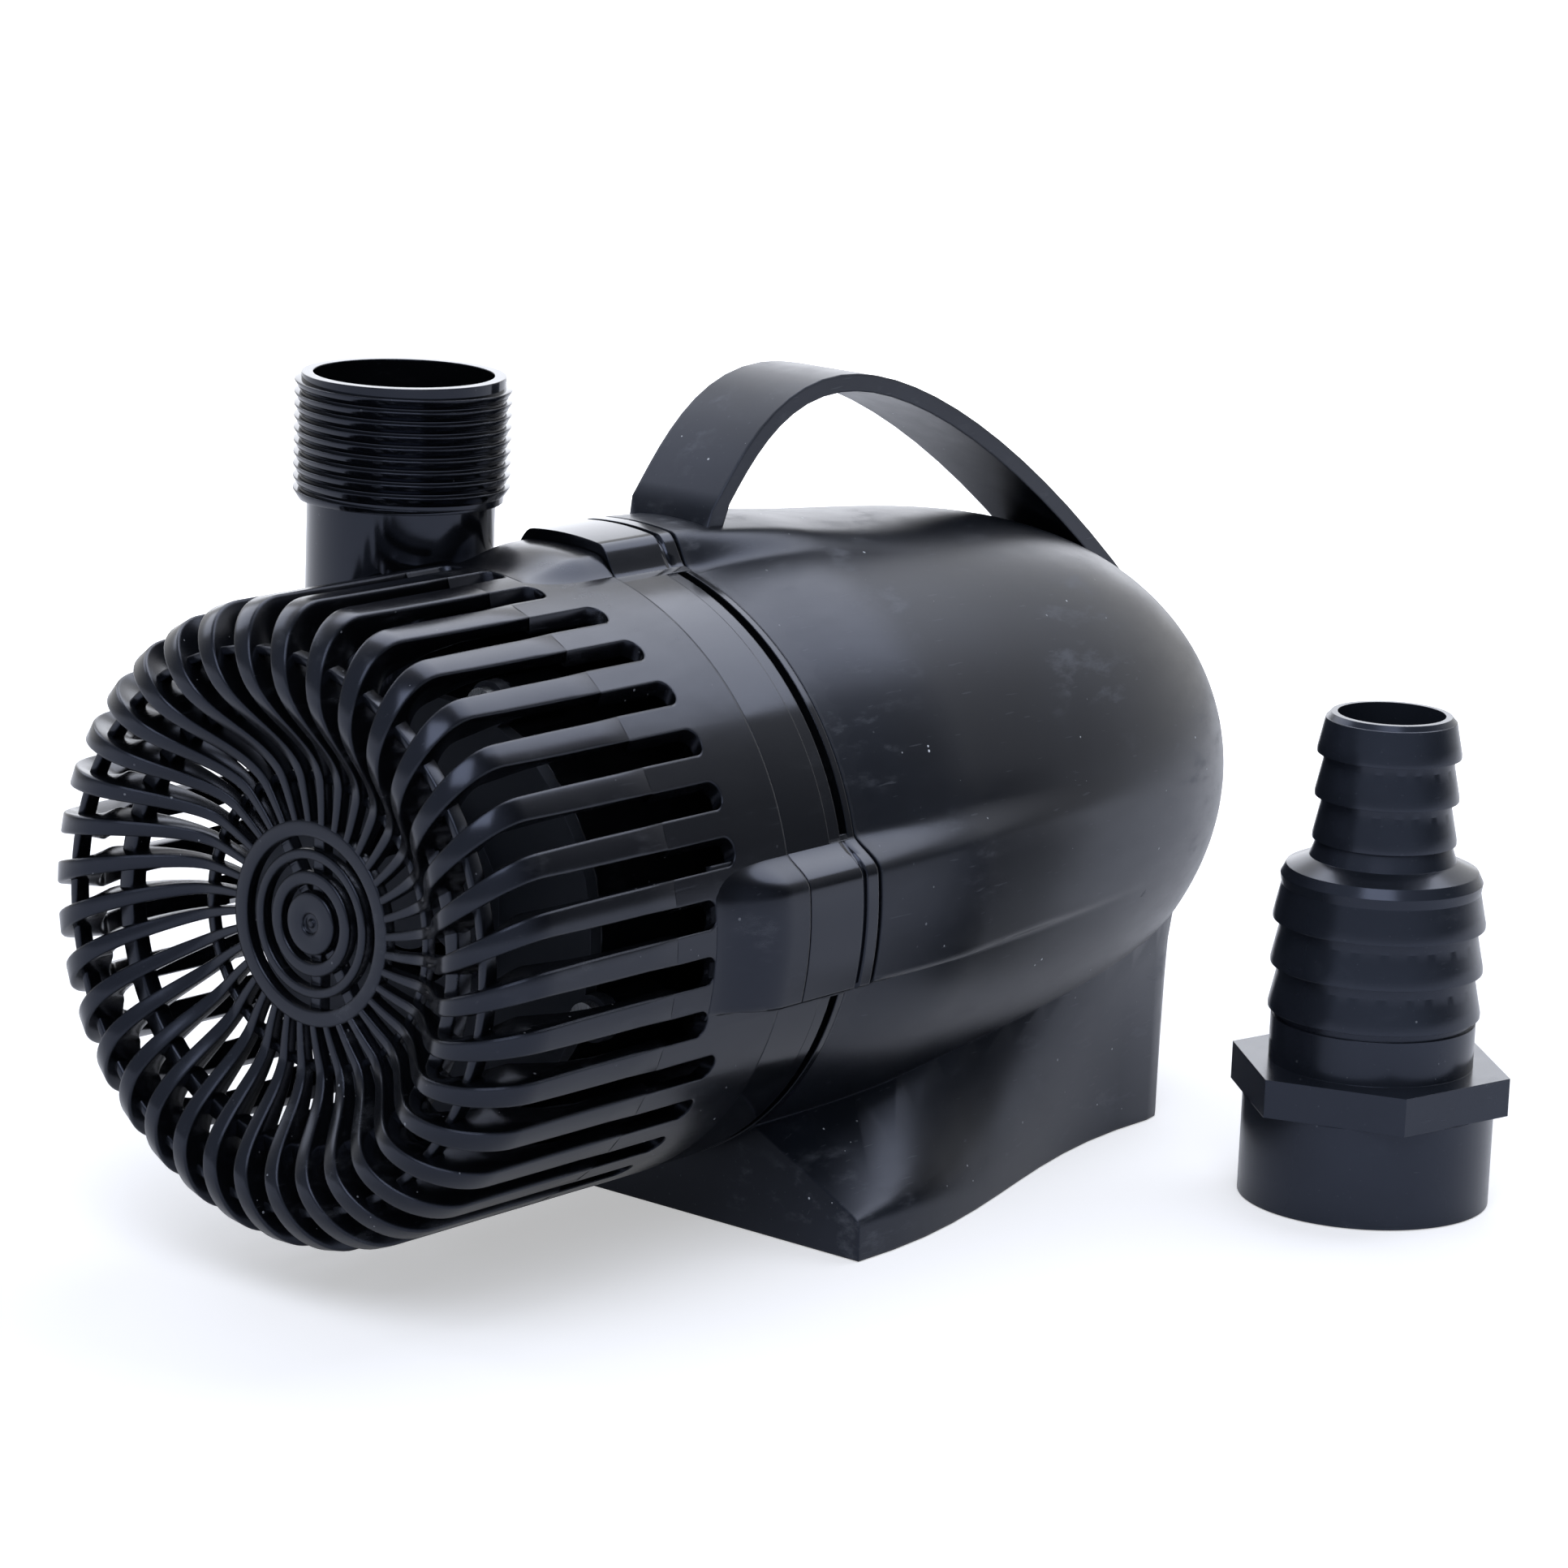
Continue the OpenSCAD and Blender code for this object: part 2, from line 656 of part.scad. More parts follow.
// Points moved sideways by d, square to the line through their neighbours.
function shifted(p, d) = [
    for (i = [0 : len(p) - 1])
    let (a = p[max(0, i - 1)], b = p[min(len(p) - 1, i + 1)])
    p[i] + d * [b.y - a.y, a.x - b.x] / norm(b - a)
];

// Carrying strap; both feet sink into the housing.
module handle() {
    top = axis_h + belly_r + handle_rise;
    root = axis_h + housing_r;
    end = [belly_y + 0.875 * tail, axis_h + 0.56 * belly_r];
    line = concat(
        bezier([1.2, root], [12, root + 4], [handle_top_y - 29, top], [handle_top_y, top], 14),
        [for (p = bezier([handle_top_y, top], [handle_top_y + 24, top], [end.x - 40, end.y + 36],
            end, 14)) if (p.x > handle_top_y + 0.1) p]
    );
    inner = shifted(line, strap_t);
    translate([-strap_w / 2, 0, 0]) rotate([90, 0, 90]) linear_extrude(strap_w) polygon(
        concat(line, [for (i = [len(inner) - 1 : -1 : 2]) inner[i]], [[12, root - 5]])
    );
}

module motor_housing() {
    color(black) difference() {
        union() {
            bullet_solid(0, housing_rim);
            housing_rails();
            handle();
            difference() {
                pedestal_solid(0);
                translate([0, 0, -0.1]) pedestal_solid(foot_wall);
            }
            gland_boss();
        }
        bullet_solid(housing_wall, housing_rim - 1);
        gland_hole();
    }
    color(black) screw_ledge();
}

// Ring inside the front rim that the can's flange and the long screws hold on to.
module screw_ledge() {
    difference() {
        ring(ledge_y, ledge_y + 10, flange_r + 1, screw_ring_r - 5);
        for (a = casing_screw_angles) on_axis(ledge_y - 1) rotate(a)
            translate([0, -screw_ring_r, 0]) cylinder(h = 12, r = screw_r - 0.4, $fn = 32);
    }
}

module at_gland() {
    translate([-40, gland_y, axis_h - 12]) rotate([0, -90, 0]) children();
}

module gland_boss() {
    at_gland() cylinder(h = 17, r = gland_r + 3, $fn = 48);
}

module gland_hole() {
    at_gland() translate([0, 0, -30]) cylinder(h = 60, r = gland_r - 1.5, $fn = 48);
}

module cable_gland() {
    color(black) at_gland() difference() {
        union() {
            translate([0, 0, 4]) cylinder(h = gland_end - 4, r = gland_r - 1.8, $fn = 48);
            translate([0, 0, 17 + fit]) cylinder(h = 3, r = gland_r + 1.5, $fn = 6);
        }
        translate([0, 0, 3]) cylinder(h = 26, r = cable_r, $fn = 48);
    }
}

module gland_nut() {
    color(black) at_gland() difference() {
        translate([0, 0, 20.6]) cylinder(h = 10, r = gland_r, $fn = 48);
        translate([0, 0, 20]) cylinder(h = gland_end + 0.7 - 20, r = gland_r - 1.6, $fn = 48);
        translate([0, 0, 20]) cylinder(h = 12, r = cable_r, $fn = 48);
    }
}

// Soft ring that the nut squeezes onto the cable.
module gland_seal() {
    color(rubber) at_gland() translate([0, 0, gland_end]) difference() {
        cylinder(h = 0.7, r = gland_r - 1.8, $fn = 48);
        translate([0, 0, -1]) cylinder(h = 3, r = cable_r, $fn = 48);
    }
}

// Windows beside the two poles of the stator.
module windows() {
    for (sx = [-1, 1], sz = [-1, 1])
        translate([sx * (pole_w / 2 + 9), sz * (coil_z + coil_t / 2), 0])
            cube([18, coil_t + 2, core_len * 3], center = true);
}

module stator_core() {
    color(iron) on_axis(core_y) difference() {
        translate([-core_x, -core_z, 0]) cube([2 * core_x, 2 * core_z, core_len]);
        translate([0, 0, -1]) cylinder(h = core_len + 2, r = can_r + can_wall + 0.3);
        windows();
    }
}

// Rectangular frame about a pole, grown by g on the outside.
module frame(z0, t, g) {
    translate([0, z0 + t / 2, core_len / 2]) difference() {
        cube([pole_w + 2 * g, t, core_len + 2 * g], center = true);
        cube([pole_w, t + 2, core_len], center = true);
    }
}

module coil_bobbins() {
    color(white) on_axis(core_y) for (s = [0, 180]) rotate(s) {
        frame(coil_z - 1, 1, coil_w - 2.5);
        frame(coil_z + coil_t, 1, coil_w - 2.5);
        frame(coil_z, coil_t, 1.2);
    }
}

module stator_coils() {
    color(copper) on_axis(core_y) for (s = [0, 180]) rotate(s) difference() {
        frame(coil_z, coil_t, coil_w - 3);
        frame(coil_z - 1, coil_t + 2, 1.2);
    }
}

module thermal_cutout() {
    color(white) on_axis(core_y + core_len + coil_w) translate([-6, -coil_z - 8, 0]) cube([12, 6, 4]);
}

module potting_resin() {
    y1 = core_y + core_len + coil_w + 8;
    color(resin) difference() {
        on_axis(ledge_y + 10 + fit) cylinder(h = y1 - ledge_y - 10 - fit, r = flange_r - 3);
        on_axis(0) cylinder(h = y1 + 1, r = can_r + can_wall);
        on_axis(core_y) translate([-core_x, -core_z, 0]) cube([2 * core_x, 2 * core_z, core_len]);
        on_axis(core_y) for (s = [0, 180]) rotate(s)
            translate([0, coil_z + coil_t / 2, core_len / 2])
            cube([pole_w + 2 * coil_w, coil_t + 2, core_len + 2 * coil_w], center = true);
        on_axis(core_y + core_len + coil_w) translate([-6, -coil_z - 8, 0]) cube([12, 6, 4]);
    }
}

/* ---- hose adapter ---- */

// One barb: a ramp that grows downwards and a step back to the root.
function barb(z, crest, root, h) = [[crest, z], [root, z + h]];

module hose_adapter() {
    z_hex = socket_h + hex_t;
    root_l = barb_l - 1.3;
    root_s = barb_s - 1.3;
    z_l = [for (i = [0 : 2]) z_hex + 10.5 + 9.1 * i];
    z_s = [for (i = [0 : 2]) adapter_h - 25.5 + 8.7 * i];
    outer = [
        [socket_r, 0], [socket_r, socket_h], [root_l + 0.6, socket_h], [root_l + 0.6, z_l[0] - 1.5],
        [root_l, z_l[0] - 1.5],
        for (z = z_l) each [[root_l, z], [barb_l, z], [barb_l, z + 0.8], [root_l, z + 7]],
        [root_l + 0.3, z_l[2] + 9], [root_l - 0.7, z_l[2] + 11], [root_s + 1.6, z_l[2] + 13],
        [root_s + 0.4, z_l[2] + 16.5],
        for (z = z_s) each [[root_s, z], [barb_s, z], [barb_s, z + 0.8], [root_s, z + 7]],
        [root_s - 0.2, adapter_h - 1], [root_s - 1, adapter_h]
    ];
    translate([adapter_x, adapter_y, 0]) color(slate) difference() {
        union() {
            rotate_extrude() polygon(concat([[0, 0]], outer, [[0, adapter_h]]));
            translate([0, 0, socket_h]) rotate(-41.6) cylinder(h = hex_t, r = hex_r, $fn = 6);
        }
        translate([0, 0, -1]) cylinder(h = socket_h + 1, r = socket_bore);
        cylinder(h = socket_h + washer_t, r = socket_bore - 0.4);
        cylinder(h = z_l[2] + 8, r = root_l - 2.4);
        cylinder(h = adapter_h + 1, r = adapter_bore);
    }
}

module adapter_washer() {
    color(rubber) translate([adapter_x, adapter_y, socket_h]) difference() {
        cylinder(h = washer_t, r = socket_bore - 0.5);
        translate([0, 0, -1]) cylinder(h = washer_t + 2, r = mouth_r);
    }
}

intake_cage();
pump_casing();
casing_cover();
cover_seal();
cover_screws();
impeller();
rotor_sleeve();
rotor_magnet();
front_bush();
rear_bush();
shaft();
front_shaft_cup();
rear_shaft_cup();
rotor_can();
can_seal();
rim_gasket();
casing_screws();
motor_housing();
stator_core();
coil_bobbins();
stator_coils();
thermal_cutout();
potting_resin();
cable_gland();
gland_nut();
gland_seal();
hose_adapter();
adapter_washer();
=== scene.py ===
import math
from collections import namedtuple

import bmesh
import bpy
from mathutils import Matrix, Vector


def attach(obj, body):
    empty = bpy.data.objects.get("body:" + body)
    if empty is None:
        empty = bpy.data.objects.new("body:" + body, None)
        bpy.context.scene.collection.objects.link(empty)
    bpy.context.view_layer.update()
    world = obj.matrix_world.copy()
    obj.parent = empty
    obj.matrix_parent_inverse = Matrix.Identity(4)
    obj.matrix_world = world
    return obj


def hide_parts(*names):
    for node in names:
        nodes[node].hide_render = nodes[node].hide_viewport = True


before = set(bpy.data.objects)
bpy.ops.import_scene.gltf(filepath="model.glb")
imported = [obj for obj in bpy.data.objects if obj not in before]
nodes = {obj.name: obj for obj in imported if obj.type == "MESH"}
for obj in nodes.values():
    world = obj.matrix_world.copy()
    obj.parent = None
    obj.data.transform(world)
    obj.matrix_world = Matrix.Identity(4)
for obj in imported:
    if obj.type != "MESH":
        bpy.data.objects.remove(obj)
scene = bpy.context.scene
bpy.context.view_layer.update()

MM = 0.001

# The pump's layout, in millimetres.
AXIS_H = 69.7           # height of the motor's axis
OUTLET_X = -29.3        # the outlet's axis
OUTLET_Y = -35.1
OUTLET_TOP = 163.0
THREAD_LEN = 24.0
THREAD_PITCH = 2.309    # 11 turns to the inch
THREAD_CREST_R = 20.955
THREAD_DEPTH = 1.479
THREAD_TURNS = 9.9
THREAD_START = 0.6      # height of the thread's first turn over the foot of its land

CAMERA_PLACE = (715.7, -825.1, 333.4)
CAMERA_LENS = 132.3
LAMP_COLOUR = "#f1f5ff"
PLASTIC_IOR = 1.54


# ---------------------------------------------------------------- camera and studio

def place_camera():
    """Long lens, a little above the pump and to the right of its intake."""
    azimuth = math.radians(39.355)
    pitch = math.radians(12.869)
    roll = math.radians(2.231)
    back = Vector((
        math.sin(azimuth) * math.cos(pitch),
        -math.cos(azimuth) * math.cos(pitch),
        math.sin(pitch),
    ))
    right = Vector((0, 0, 1)).cross(back).normalized()
    up = back.cross(right)
    right = right * math.cos(roll) + up * math.sin(roll)
    up = back.cross(right)
    data = bpy.data.cameras.new("camera")
    data.sensor_width = 36
    data.lens = CAMERA_LENS
    data.clip_start = 0.05
    camera = bpy.data.objects.new("camera", data)
    camera.matrix_world = Matrix((right, up, back)).transposed().to_4x4()
    camera.location = Vector(CAMERA_PLACE) * MM
    scene.collection.objects.link(camera)
    scene.camera = camera


def softbox(name, place, aim, width, height, power):
    """A rectangular studio lamp at place that faces aim; sizes in metres."""
    data = bpy.data.lights.new(name, "AREA")
    data.shape = "RECTANGLE"
    data.size = width
    data.size_y = height
    data.energy = power
    data.color = paint(LAMP_COLOUR)[:3]
    lamp = bpy.data.objects.new(name, data)
    lamp.visible_camera = False
    lamp.location = place
    lamp.rotation_euler = (Vector(aim) - Vector(place)).to_track_quat("-Z", "Y").to_euler()
    scene.collection.objects.link(lamp)


def paint(colour):
    """A written colour as linear red, green, blue and alpha."""
    values = [int(colour[i:i + 2], 16) / 255 for i in (1, 3, 5)]
    return [v / 12.92 if v <= 0.04045 else ((v + 0.055) / 1.055) ** 2.4 for v in values] + [1.0]


# ---------------------------------------------------------------- node helpers

def add(tree, kind, inputs=None, **settings):
    """Adds a node to tree, with its settings, its inputs' values and its inputs' links."""
    node = tree.nodes.new(kind)
    for name, value in settings.items():
        setattr(node, name, value)
    for key, value in (inputs or {}).items():
        if isinstance(value, bpy.types.NodeSocket):
            tree.links.new(value, node.inputs[key])
        else:
            node.inputs[key].default_value = value
    return node


def math_node(tree, operation, a, b=0.0, clamp=False):
    """The output of a math node on two values or sockets."""
    return add(tree, "ShaderNodeMath", {0: a, 1: b}, operation=operation, use_clamp=clamp).outputs[0]


def ramp(tree, value, low, high):
    """0 where value is under low, 1 over high, and smooth between."""
    return add(
        tree, "ShaderNodeMapRange", {"Value": value, "From Min": low, "From Max": high},
        interpolation_type="SMOOTHSTEP",
    ).outputs[0]


def blend_colour(tree, factor, a, b):
    """Colour a where factor is 0 and b where it is 1."""
    return add(tree, "ShaderNodeMix", {0: factor, 6: a, 7: b}, data_type="RGBA").outputs[2]


def noise(tree, where, size_mm, detail=2.0, roughness=0.5):
    """Smooth noise whose features are about size_mm across."""
    return add(
        tree, "ShaderNodeTexNoise",
        {"Vector": where, "Scale": 1 / (size_mm * MM), "Detail": detail, "Roughness": roughness},
    ).outputs["Fac"]


def stretched(tree, where, scale, turn=(0.0, 0.0, 0.0)):
    """Coordinates scaled and turned, for a pattern with a direction."""
    return add(
        tree, "ShaderNodeMapping", {"Vector": where, "Scale": scale, "Rotation": turn},
    ).outputs["Vector"]


def new_material(name):
    """An empty material with a shader and an output; returns it, its tree and its shader."""
    material = bpy.data.materials.new(name)
    material.use_nodes = True
    tree = material.node_tree
    tree.nodes.clear()
    shader = add(tree, "ShaderNodeBsdfPrincipled")
    add(tree, "ShaderNodeOutputMaterial", {"Surface": shader.outputs[0]})
    return material, tree, shader


# ---------------------------------------------------------------- materials

def moulded_plastic(name, colour, tint, roughness, grain, edge, dust=0.0, scuffs=0.0):
    """Injection-moulded plastic: spark-eroded grain, uneven gloss, scuffs, dust and soft edges."""
    material, tree, shader = new_material(name)
    where = add(tree, "ShaderNodeTexCoord").outputs["Object"]

    cloud = noise(tree, where, 38, 3.0, 0.55)
    smear = noise(tree, stretched(tree, where, (1.0, 0.5, 1.6)), 7, 5.0, 0.65)
    base = blend_colour(tree, ramp(tree, cloud, 0.35, 0.7), paint(colour), paint(tint))

    hair = noise(tree, stretched(tree, where, (4.0, 0.3, 4.0), (0.9, 0.5, 0.7)), 2.6, 1.0, 0.4)
    scratch = math_node(tree, "MULTIPLY", ramp(tree, hair, 0.73, 0.77), 0.5)
    haze = math_node(tree, "MULTIPLY", ramp(tree, smear, 0.52, 0.72), ramp(tree, cloud, 0.48, 0.62))
    scuff = math_node(tree, "MULTIPLY", math_node(tree, "MAXIMUM", haze, scratch), scuffs)
    base = blend_colour(tree, scuff, base, paint("#62656b"))

    cell = add(
        tree, "ShaderNodeTexVoronoi",
        {"Vector": where, "Scale": 1 / (3.1 * MM), "Randomness": 1.0},
    )
    speck_size = math_node(tree, "MULTIPLY", add(
        tree, "ShaderNodeSeparateColor", {0: cell.outputs["Color"]}).outputs[0], 0.15)
    speck_size = math_node(tree, "SUBTRACT", speck_size, 0.055)
    near = math_node(tree, "LESS_THAN", cell.outputs["Distance"], speck_size)
    settled = ramp(tree, noise(tree, where, 26, 2.0), 0.45, 0.65)
    speck = math_node(tree, "MULTIPLY", math_node(tree, "MULTIPLY", near, settled), dust)
    base = blend_colour(tree, speck, base, paint("#c3c7cd"))
    tree.links.new(base, shader.inputs["Base Color"])

    uneven = math_node(tree, "MULTIPLY_ADD", smear, 0.14)
    uneven.node.inputs[2].default_value = roughness - 0.07
    dull = math_node(tree, "MULTIPLY", math_node(tree, "MAXIMUM", scuff, speck), 0.3)
    tree.links.new(math_node(tree, "ADD", uneven, dull, clamp=True), shader.inputs["Roughness"])
    shader.inputs["IOR"].default_value = PLASTIC_IOR
    shader.inputs["Specular Tint"].default_value = paint("#ccd6f2")

    soft = add(tree, "ShaderNodeBevel", {"Radius": edge * MM}, samples=4).outputs[0]
    pores = noise(tree, where, 0.22, 2.0, 0.6)
    sink = noise(tree, where, 22, 1.0, 0.4)
    wavy = add(tree, "ShaderNodeBump", {"Height": sink, "Distance": 0.25 * MM, "Strength": 0.35,
                                        "Normal": soft}).outputs[0]
    fine = add(tree, "ShaderNodeBump", {"Height": pores, "Distance": 0.02 * MM, "Strength": grain,
                                        "Normal": wavy}).outputs[0]
    tree.links.new(fine, shader.inputs["Normal"])
    return material


def metal(name, colour, roughness):
    """Turned or drawn metal with fine lines along one direction."""
    material, tree, shader = new_material(name)
    where = add(tree, "ShaderNodeTexCoord").outputs["Object"]
    drawn = noise(tree, stretched(tree, where, (1.0, 1.0, 0.02)), 0.15, 2.0, 0.6)
    tone = ramp(tree, noise(tree, where, 7, 3.0), 0.3, 0.75)
    dark = [c * 0.72 for c in paint(colour)[:3]] + [1.0]
    tree.links.new(blend_colour(tree, tone, dark, paint(colour)), shader.inputs["Base Color"])
    shader.inputs["Metallic"].default_value = 1.0
    rough = math_node(tree, "MULTIPLY_ADD", drawn, 0.16)
    rough.node.inputs[2].default_value = roughness - 0.08
    tree.links.new(rough, shader.inputs["Roughness"])
    soft = add(tree, "ShaderNodeBevel", {"Radius": 0.15 * MM}, samples=4).outputs[0]
    tree.links.new(add(tree, "ShaderNodeBump", {"Height": drawn, "Distance": 0.01 * MM,
                                                "Strength": 0.5, "Normal": soft}).outputs[0],
                   shader.inputs["Normal"])
    return material


def dense(name, colour, tint, roughness, speckle_mm, bump_mm=0.03, ior=1.5):
    """A matt solid with a fine mottle, such as rubber, ceramic, ferrite or cast resin."""
    material, tree, shader = new_material(name)
    where = add(tree, "ShaderNodeTexCoord").outputs["Object"]
    mottle = noise(tree, where, speckle_mm, 3.0, 0.6)
    broad = noise(tree, where, speckle_mm * 14, 2.0)
    tone = ramp(tree, math_node(tree, "ADD", mottle, broad), 0.7, 1.35)
    tree.links.new(blend_colour(tree, tone, paint(colour), paint(tint)), shader.inputs["Base Color"])
    rough = math_node(tree, "MULTIPLY_ADD", broad, 0.2)
    rough.node.inputs[2].default_value = roughness - 0.1
    tree.links.new(rough, shader.inputs["Roughness"])
    shader.inputs["IOR"].default_value = ior
    soft = add(tree, "ShaderNodeBevel", {"Radius": 0.2 * MM}, samples=4).outputs[0]
    tree.links.new(add(tree, "ShaderNodeBump", {"Height": mottle, "Distance": bump_mm * MM,
                                                "Strength": 0.5, "Normal": soft}).outputs[0],
                   shader.inputs["Normal"])
    return material


def wound_copper():
    """Enamelled copper wire laid side by side, seen as fine bands."""
    material, tree, shader = new_material("enamelled copper winding")
    where = add(tree, "ShaderNodeTexCoord").outputs["Object"]
    turns = add(tree, "ShaderNodeTexWave", {"Vector": where, "Scale": 1 / (0.8 * MM) / 3.14,
                                            "Distortion": 0.4}, bands_direction="Y")
    tone = blend_colour(tree, turns.outputs["Fac"], paint("#6e2f12"), paint("#c4713a"))
    tree.links.new(tone, shader.inputs["Base Color"])
    shader.inputs["Metallic"].default_value = 1.0
    shader.inputs["Roughness"].default_value = 0.32
    tree.links.new(add(tree, "ShaderNodeBump", {"Height": turns.outputs["Fac"],
                                                "Distance": 0.2 * MM}).outputs[0],
                   shader.inputs["Normal"])
    return material


def stacked_sheet():
    """Punched silicon-steel sheets stacked along the motor's axis."""
    material, tree, shader = new_material("laminated electrical steel")
    where = add(tree, "ShaderNodeTexCoord").outputs["Object"]
    sheets = add(tree, "ShaderNodeTexWave", {"Vector": where, "Scale": 1 / (0.5 * MM) / 3.14},
                 bands_direction="Y")
    tone = blend_colour(tree, sheets.outputs["Fac"], paint("#3c3f43"), paint("#83878c"))
    tree.links.new(tone, shader.inputs["Base Color"])
    shader.inputs["Metallic"].default_value = 1.0
    shader.inputs["Roughness"].default_value = 0.42
    tree.links.new(add(tree, "ShaderNodeBump", {"Height": sheets.outputs["Fac"],
                                                "Distance": 0.05 * MM}).outputs[0],
                   shader.inputs["Normal"])
    return material


satin_body = moulded_plastic("satin black moulded housing", "#0c0e12", "#14171d", 0.32,
                             grain=0.3, dust=1.0, scuffs=0.45, edge=0.7)
cage_black = moulded_plastic("black moulded intake cage", "#050608", "#090a0d", 0.22,
                             grain=0.15, dust=0.5, scuffs=0.15, edge=0.6)
gloss_black = moulded_plastic("glossy black moulded casing", "#050608", "#090a0c", 0.12,
                              grain=0.06, dust=0.15, scuffs=0.06, edge=0.35)
adapter_black = moulded_plastic("satin slate-black adapter plastic", "#1a1d23", "#20242b", 0.23,
                                grain=0.12, dust=0.3, scuffs=0.15, edge=0.18)
inner_black = moulded_plastic("black glass-filled inner plastic", "#15171a", "#1d1f23", 0.4,
                              grain=0.4, edge=0.2)
seal_rubber = dense("black sealing rubber", "#0c0d0e", "#17181a", 0.7, 0.4)
alumina = dense("ground alumina ceramic", "#ddd8cb", "#efebe0", 0.35, 0.3, 0.01, 1.76)
ferrite = dense("pressed ferrite magnet", "#26262a", "#3d3c3e", 0.5, 0.35)
potting = dense("cast potting resin", "#1c1a17", "#332d25", 0.35, 1.5, 0.1, 1.55)
bobbin_nylon = dense("natural nylon bobbin", "#cfc9ba", "#e0dbcd", 0.45, 0.5, 0.02, 1.53)
steel = metal("turned stainless steel", "#c3c6ca", 0.28)
copper = wound_copper()
lamination = stacked_sheet()

FINISH = {
    "motor_housing": satin_body,
    "intake_cage": cage_black,
    "pump_casing": gloss_black,
    "hose_adapter": adapter_black,
    "casing_cover": inner_black,
    "impeller": inner_black,
    "rotor_sleeve": inner_black,
    "rotor_can": inner_black,
    "cable_gland": inner_black,
    "gland_nut": inner_black,
    "cover_seal": seal_rubber,
    "can_seal": seal_rubber,
    "rim_gasket": seal_rubber,
    "gland_seal": seal_rubber,
    "adapter_washer": seal_rubber,
    "front_shaft_cup": seal_rubber,
    "rear_shaft_cup": seal_rubber,
    "shaft": alumina,
    "front_bush": alumina,
    "rear_bush": alumina,
    "rotor_magnet": ferrite,
    "potting_resin": potting,
    "coil_bobbins": bobbin_nylon,
    "thermal_cutout": bobbin_nylon,
    "cover_screws": steel,
    "casing_screws": steel,
    "stator_coils": copper,
    "stator_core": lamination,
}


def give(piece, material):
    """The piece wears this material all over."""
    piece.data.materials.clear()
    piece.data.materials.append(material)


def merged_copy(node, name, crease=24):
    """A piece with the node's shape, its triangles joined and its faces smooth up to a crease."""
    mesh = nodes[node].data.copy()
    piece = bpy.data.objects.new(name, mesh)
    scene.collection.objects.link(piece)
    body = bmesh.new()
    body.from_mesh(mesh)
    bmesh.ops.remove_doubles(body, verts=body.verts, dist=0.002 * MM)
    bmesh.ops.dissolve_degenerate(body, edges=body.edges, dist=0.001 * MM)
    for face in body.faces:
        face.smooth = True
    for edge in body.edges:
        edge.smooth = len(edge.link_faces) == 2 and edge.calc_face_angle(0) < math.radians(crease)
    body.to_mesh(mesh)
    body.free()
    return piece


def finished(name, body, material, crease):
    """Makes body, which is closed, a piece in this material, smooth up to a crease in degrees."""
    bmesh.ops.recalc_face_normals(body, faces=body.faces)
    for face in body.faces:
        face.smooth = True
    for edge in body.edges:
        edge.smooth = edge.calc_face_angle(0) < math.radians(crease)
    mesh = bpy.data.meshes.new(name)
    body.to_mesh(mesh)
    body.free()
    piece = bpy.data.objects.new(name, mesh)
    scene.collection.objects.link(piece)
    give(piece, material)
    return piece


def blend(value, low, high):
    """0 under low, 1 over high and smooth between."""
    t = min(1.0, max(0.0, (value - low) / (high - low)))
    return t * t * (3 - 2 * t)


def about_axis(vertex):
    """A vertex's radius about the pump axis, its degrees from the top and its place along Y."""
    x, y, z = vertex.co.x / MM, vertex.co.y / MM, vertex.co.z / MM - AXIS_H
    return math.hypot(x, z), math.degrees(math.atan2(x, z)), y


def set_radius(vertex, r, new_r):
    """Moves a vertex that stands at radius r about the pump axis to new_r."""
    x, z = vertex.co.x / MM, vertex.co.z / MM - AXIS_H
    vertex.co.x = x * (new_r / r) * MM
    vertex.co.z = (AXIS_H + z * (new_r / r)) * MM


def join_rows(body, rows):
    """Closes rows of vertices that run round into a loop of rows with four-sided faces."""
    for a, b in zip(rows, rows[1:] + rows[:1]):
        for i in range(len(a)):
            n = (i + 1) % len(a)
            body.faces.new((a[i], a[n], b[n], b[i]))


# ---------------------------------------------------------------- outlet thread

